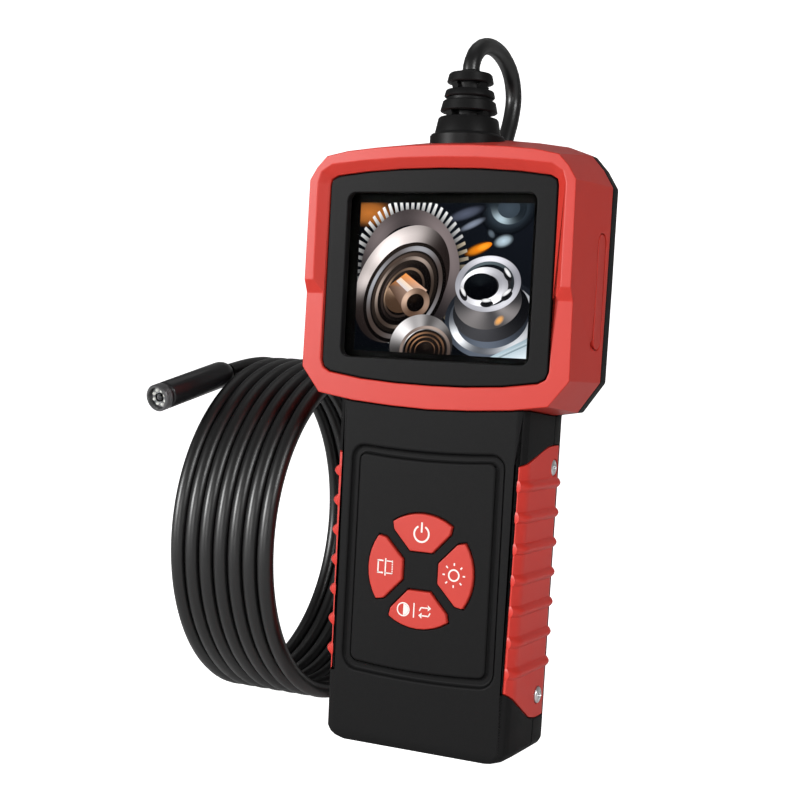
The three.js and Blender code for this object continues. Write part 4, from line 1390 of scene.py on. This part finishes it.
@dataclass
class Display:
    """Cover glass, black border and the lit picture of gears and bearings."""

    active_width: float = 54.3
    active_height: float = 43.2
    centre_z: float = 135.7
    back_y: float = -10.43

    def gear_teeth(self, picture: Picture, centre: Flat, axes: Flat, count: int) -> None:
        """Draws the large gear's teeth.

        Args:
            picture: the picture.
            centre: the gear's middle.
            axes: its outer half axes, as shares of the picture's width.
            count: the number of teeth.
        """
        ratio = picture.width / picture.height
        places: list[Flat] = []
        tints: list[Colour] = []
        for tooth in range(count):
            angle = 360 * tooth / count
            shine = 0.35 + 0.9 * math.exp(-(((angle - 95 + 180) % 360 - 180) / 62) ** 2)
            warm = (1.0, 0.88, 0.7) if angle < 30 or angle > 300 else (1.0, 1.0, 1.0)
            for share, away, light in (
                (0.82, -1.9, 0.2), (1.0, -1.2, 1.0), (1.0, 1.3, 1.0), (0.82, 2.0, 0.2)
            ):
                a = math.radians(angle + away)
                places.append((centre[0] + axes[0] * share * math.cos(a),
                               centre[1] + axes[1] * share * math.sin(a) * ratio))
                tints.append(tuple(shine * light * c for c in warm))
        picture.add(places, tints, [range(4 * tooth, 4 * tooth + 4) for tooth in range(count)])

    def draw(self, picture: Picture) -> None:
        """Draws the picture from back to front.

        Args:
            picture: the picture.
        """
        night, steel, warm = (0.006, 0.008, 0.012), (0.75, 0.78, 0.84), (0.85, 0.62, 0.46)
        picture.shape(
            [(0, 0), (1, 0), (1, 1), (0, 1)],
            [night, (0.01, 0.012, 0.016), (0.02, 0.025, 0.035), night]
        )
        picture.blob((0.86, 0.96), (0.16, 0.13), 20, (0.10, 0.13, 0.16), night)
        picture.ring(
            (0.86, 0.97), (0.10, 0.085), 0, 0.62, (0.03, 0.04, 0.05), (0.55, 0.66, 0.72),
            [(240, 40, 0.9)]
        )
        picture.blob((0.62, 0.93), (0.12, 0.035), 18, (0.16, 0.18, 0.24), night)
        picture.blob((0.66, 0.86), (0.09, 0.022), 25, (0.34, 0.38, 0.46), night)
        picture.blob((0.84, 0.755), (0.06, 0.035), 18, (0.62, 0.74, 0.82), night)
        picture.blob((0.77, 0.80), (0.03, 0.02), -50, (0.2, 0.24, 0.28), night)
        picture.blob((0.70, 0.70), (0.085, 0.03), 22, (1.0, 0.38, 0.03), night)
        picture.blob((0.73, 0.715), (0.05, 0.018), 22, (1.0, 0.5, 0.06), (0.9, 0.3, 0.02))
        picture.blob((0.05, 0.93), (0.16, 0.08), 0, (0.62, 0.26, 0.07), night)
        gear, gear_axes = (0.31, 0.535), (0.345, 0.398)
        self.gear_teeth(picture, gear, gear_axes, 60)
        picture.ring(
            gear, (0.292, 0.336), 0, 0.74, (0.03, 0.026, 0.028), (0.34, 0.29, 0.29),
            [(50, 40, 0.8), (0, 30, 0.5), (140, 30, 0.7)]
        )
        picture.ring(
            gear, (0.218, 0.252), 0, 0.0, (0.004, 0.004, 0.005), (0.015, 0.015, 0.02), [(60, 60, 1)]
        )
        hub = (0.265, 0.455)
        picture.ring(
            hub, (0.342, 0.245), 56, 0.70, (0.05, 0.038, 0.036), (1.25, 1.15, 1.12),
            [(66, 36, 1.0), (20, 20, 0.3), (115, 14, 0.45), (235, 24, 0.3)], edge=0.75
        )
        inner = (0.285, 0.40)
        picture.ring(
            inner, (0.29, 0.215), 56, 0.0, (0.008, 0.006, 0.006), (0.05, 0.04, 0.035), [(60, 60, 1)]
        )
        for share, dark, bright, glints in (
            (1.0, (0.10, 0.075, 0.065), steel, [(20, 30, 0.5), (100, 30, 0.55), (250, 40, 0.45)]),
            (0.86, (0.02, 0.016, 0.014), (0.16, 0.12, 0.1), [(60, 70, 0.8)]),
            (
                0.78, (0.08, 0.06, 0.05), (0.62, 0.52, 0.46),
                [(10, 30, 0.7), (110, 30, 0.8), (235, 30, 0.4)]
            ),
            (0.62, (0.012, 0.01, 0.01), (0.12, 0.09, 0.08), [(100, 60, 0.8)]),
            (0.54, (0.06, 0.045, 0.04), (0.5, 0.36, 0.26), [(20, 40, 0.5), (110, 30, 1.0)]),
            (0.40, (0.01, 0.008, 0.008), (0.09, 0.06, 0.05), [(100, 60, 0.8)]),
        ):
            picture.ring(inner, (0.27 * share, 0.195 * share), 56, 0.90, dark, bright, glints)
        picture.ring((0.27, 0.375), (0.10, 0.085), 30, 0.0, (0.12, 0.075, 0.05), warm, [(90, 40, 0.8)])
        picture.shape([(0.19, 0.44), (0.29, 0.53), (0.42, 0.42), (0.30, 0.26)],
                      [(0.16, 0.1, 0.07), (1.0, 0.45, 0.14), (0.75, 0.55, 0.45), (0.2, 0.13, 0.1)])
        picture.shape([(0.235, 0.475), (0.262, 0.50), (0.385, 0.385), (0.36, 0.35)],
                      [(0.8, 0.75, 0.75), (1.0, 0.8, 0.6), (1.0, 0.85, 0.7), (0.8, 0.72, 0.7)])
        picture.ring(
            (0.355, 0.335), (0.085, 0.075), 30, 0.60, (0.16, 0.1, 0.07), (0.8, 0.6, 0.48),
            [(120, 50, 0.9), (320, 50, 0.4)]
        )
        picture.ring(
            (0.355, 0.335), (0.052, 0.046), 30, 0.0, (0.008, 0.006, 0.006), (0.03, 0.02, 0.015),
            [(90, 60, 1)]
        )
        low = (0.80, 0.25)
        picture.ring(
            low, (0.27, 0.21), 10, 0.0, (0.03, 0.035, 0.045), (0.20, 0.23, 0.28), [(250, 60, 0.9)]
        )
        picture.ring(
            low, (0.245, 0.185), 10, 0.83, (0.10, 0.11, 0.13), (0.95, 0.97, 1.0),
            [(205, 22, 1.1), (300, 35, 0.7), (20, 40, 0.5)]
        )
        picture.ring(
            (0.79, 0.30), (0.215, 0.16), 10, 0.0, (0.012, 0.013, 0.016), (0.12, 0.12, 0.13),
            [(240, 60, 0.9)]
        )
        picture.ring(
            (0.77, 0.36), (0.19, 0.145), 8, 0.0, (0.05, 0.05, 0.055), (0.36, 0.34, 0.34),
            [(230, 40, 0.8), (320, 25, 0.9)]
        )
        picture.blob((0.84, 0.24), (0.035, 0.02), 45, (1.0, 0.55, 0.2), (0.3, 0.25, 0.22))
        face = (0.765, 0.475)
        picture.ring(
            face, (0.185, 0.145), 8, 0.78, (0.22, 0.22, 0.25), (0.95, 0.95, 1.0),
            [(80, 50, 0.9), (200, 50, 0.4), (300, 50, 0.7)]
        )
        picture.ring(
            face, (0.148, 0.116), 8, 0.86, (0.03, 0.035, 0.04), (0.18, 0.22, 0.24), [(90, 60, 0.9)]
        )
        picture.ring(
            (0.745, 0.455), (0.135, 0.102), 8, 0.62, (0.35, 0.35, 0.38), (1.15, 1.15, 1.18),
            [(120, 60, 0.9), (280, 60, 1.0)]
        )
        picture.ring(
            (0.725, 0.455), (0.095, 0.07), 4, 0.0, (0.004, 0.005, 0.008), (0.02, 0.025, 0.03),
            [(90, 60, 1)]
        )
        for u, v, tilt in ((0.765, 0.345, 5), (0.875, 0.40, 38), (0.875, 0.53, -52), (0.63, 0.40, -60)):
            picture.blob((u, v), (0.036, 0.018), tilt, (0.01, 0.012, 0.015), (0.05, 0.05, 0.055))
            picture.blob((u - 0.002, v + 0.022), (0.030, 0.010), tilt, (1.0, 1.0, 1.0), (0.6, 0.6, 0.62))
        small = (0.40, 0.05)
        picture.ring(
            small, (0.185, 0.165), 15, 0.0, (0.06, 0.055, 0.055), (1.0, 0.97, 0.97),
            [(125, 28, 1.0), (80, 14, 0.4), (35, 20, 0.3)]
        )
        picture.ring(
            (0.425, 0.02), (0.15, 0.13), 15, 0.88, (0.10, 0.075, 0.065), (0.6, 0.5, 0.45),
            [(60, 50, 0.8), (150, 30, 0.4)]
        )
        for share in (0.98, 0.76, 0.52):
            picture.ring(
                (0.425, 0.02), (0.13 * share, 0.112 * share), 15, 0.0, (0.01, 0.008, 0.008),
                (0.04, 0.03, 0.025), [(60, 60, 1)]
            )
            picture.ring(
                (0.425, 0.02), (0.118 * share, 0.10 * share), 15, 0.9, (0.05, 0.035, 0.03),
                (0.5, 0.3, 0.18), [(110, 40, 0.9), (20, 30, 0.4)]
            )
        picture.shape(
            [(0.80, 0), (1, 0), (1, 0.13)], [(0.55, 0.68, 0.74), (0.85, 0.93, 0.97), (0.4, 0.5, 0.56)]
        )
        picture.shape(
            [(0.86, 0), (1, 0.085), (1, 0.105), (0.83, 0)],
            [(0.2, 0.28, 0.32), (0.2, 0.28, 0.32), (0.7, 0.8, 0.85), (0.7, 0.8, 0.85)]
        )

    def build(self, palette: Palette) -> None:
        """Builds the glass, its border and the picture.

        Args:
            palette: the materials.
        """
        left, bottom = -self.active_width / 2, self.centre_z - self.active_height / 2
        picture = Picture(left, bottom, self.active_width, self.active_height, self.back_y)
        self.draw(picture)
        dress(picture.piece("display_picture"), palette.picture, "device", "display_glass")
        border = Print(self.back_y)
        low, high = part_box("display_glass")
        border.polygon([(low.x / MM, low.z / MM), (high.x / MM, low.z / MM),
                        (high.x / MM, high.z / MM), (low.x / MM, high.z / MM)])
        dress(border.piece("display_border"), palette[Coat.PRINT_BLACK], "device", "bezel")
        glass = softened_copy("display_glass", 0.1, 2)
        dress(glass, palette.window, "device", "display_glass", "display_glass")


# ---------------------------------------------------------------- probe
@dataclass
class Probe:
    """Metal probe with a ridged nose ring, lamps round a lens, and a clear window."""

    front: Point = (-89.5, -20.3, 96)
    back: Point = (-86.1, 14.2, 104.8)
    radius: float = 4.25
    length: float = 35.8
    nose: float = 3.0
    lamp_count: int = 8
    lamp_ring: float = 2.3
    groove_count: int = 3
    groove_start: float = 0.9
    groove_pitch: float = 0.7
    groove_half: float = 0.2
    groove_depth: float = 0.22

    def place(self) -> Matrix:
        """Where the probe lies: its nose at the origin, its body along local Z."""
        along = Vector(self.back) - Vector(self.front)
        turn = Vector((0, 0, 1)).rotation_difference(along)
        return Matrix.Translation(self.front) @ turn.to_matrix().to_4x4()

    def turned(self, name: str, profile: Sequence[Flat], sides: int, coat: Coat, palette: Palette,
               slot: str, *nodes: str) -> None:
        """Turns one part of the probe on its axis and dresses it."""
        dress(lathe(name, profile, sides, self.place()), palette[coat], "device", slot, *nodes)

    def build(self, palette: Palette, tree: bpy.types.NodeTree) -> None:
        """Builds the probe.

        Args:
            palette: the materials.
            tree: the stamping tree.
        """
        r, end = self.radius, self.length - 0.3
        body = [(0, 3.3), (r - 0.5, 3.3), (r - 0.45, 4.1), (r - 0.15, 4.3), (r, 4.6), (r, end - 4.2),
                (r - 0.12, end - 3.2), (r - 0.45, end - 2.0), (r - 1.0, end - 0.9), (r - 1.6, end - 0.15),
                (r - 1.75, end), (0, end)]
        self.turned("probe_body", body, 64, Coat.DARK_METAL, palette, "dark_metal", "probe_housing")
        ring = [(3.35, 0.15), (3.5, 0), (r - 0.5, 0), (r - 0.12, 0.3), (r, 0.5)]
        for groove in range(self.groove_count):
            level = self.groove_start + groove * self.groove_pitch
            ring += [
                (r, level - self.groove_half), (r - self.groove_depth, level),
                (r, level + self.groove_half),
            ]
        ring += [(r, self.nose), (3.35, self.nose), (3.35, 0.1)]
        self.turned(
            "probe_ridged_ring", ring, 64, Coat.RING_METAL, palette, "dark_metal", "probe_nose_ring"
        )
        board = [(1.4, 1.9), (3.05, 1.9), (3.05, 2.9), (1.4, 2.9), (1.4, 1.9)]
        self.turned(
            "probe_lamp_plate", board, 48, Coat.LAMP_BOARD, palette, "lamp_board", "probe_lamp_board"
        )
        lens = [(0, 0.95), (0.45, 1.0), (0.8, 1.15), (1.05, 1.45), (1.1, 2.9), (0, 2.9)]
        self.turned("probe_lens_dome", lens, 40, Coat.LENS, palette, "lens", "probe_lens")
        barrel = [(1.12, 1.2), (1.38, 1.2), (1.38, 2.9), (1.12, 2.9), (1.12, 1.2)]
        self.turned("probe_lens_barrel", barrel, 40, Coat.PRINT_BLACK, palette, "lens")
        window = [(0, 0.25), (3.2, 0.25), (3.2, 0.6), (0, 0.6)]
        dress(lathe("probe_cover_glass", window, 48, self.place()), palette.probe_window, "device",
              "probe_window", "probe_window")
        lamp = lathe(
            "lamp", [(0, -0.35), (0.48, -0.35), (0.48, 0.1), (0.34, 0.3), (0, 0.38)], 20,
            Matrix.Identity(4)
        )
        seat = self.place()
        facing = seat.to_3x3() @ Vector((0, 0, -1))
        spots = []
        for index in range(self.lamp_count):
            angle = 2 * math.pi * (index + 0.5) / self.lamp_count
            local = Vector((self.lamp_ring * math.cos(angle), self.lamp_ring * math.sin(angle), 1.5))
            spots.append((tuple(seat @ local), tuple(facing)))
        lamps = stamp("probe_lamps", tree, lamp, palette[Coat.LAMP], spots)
        spare_shape(lamp)
        dress(
            lamps, palette[Coat.LAMP], "device", "lamp",
            *[f"probe_lamp_{i + 1}" for i in range(self.lamp_count)]
        )


PROBE_PIECES = ("probe_body", "probe_ridged_ring", "probe_lamp_plate", "probe_lens_dome", "probe_lens_barrel",
                "probe_cover_glass", "probe_lamps")


def main() -> None:
    """Builds the camera, piece by piece."""
    logging.basicConfig(level=logging.INFO, format="%(message)s")
    Studio().build()
    palette = Palette()
    tree = stamp_tree()
    Probe().build(palette, tree)
    Cable().build(palette, PROBE_PIECES)
    Housing().build(palette)
    Display().build(palette)
    Keypad().build(palette)
    Grips().build(palette)
    Screws().build(palette, tree)
    StrainRelief().build(palette, tree)


if __name__ == "__main__":
    main()
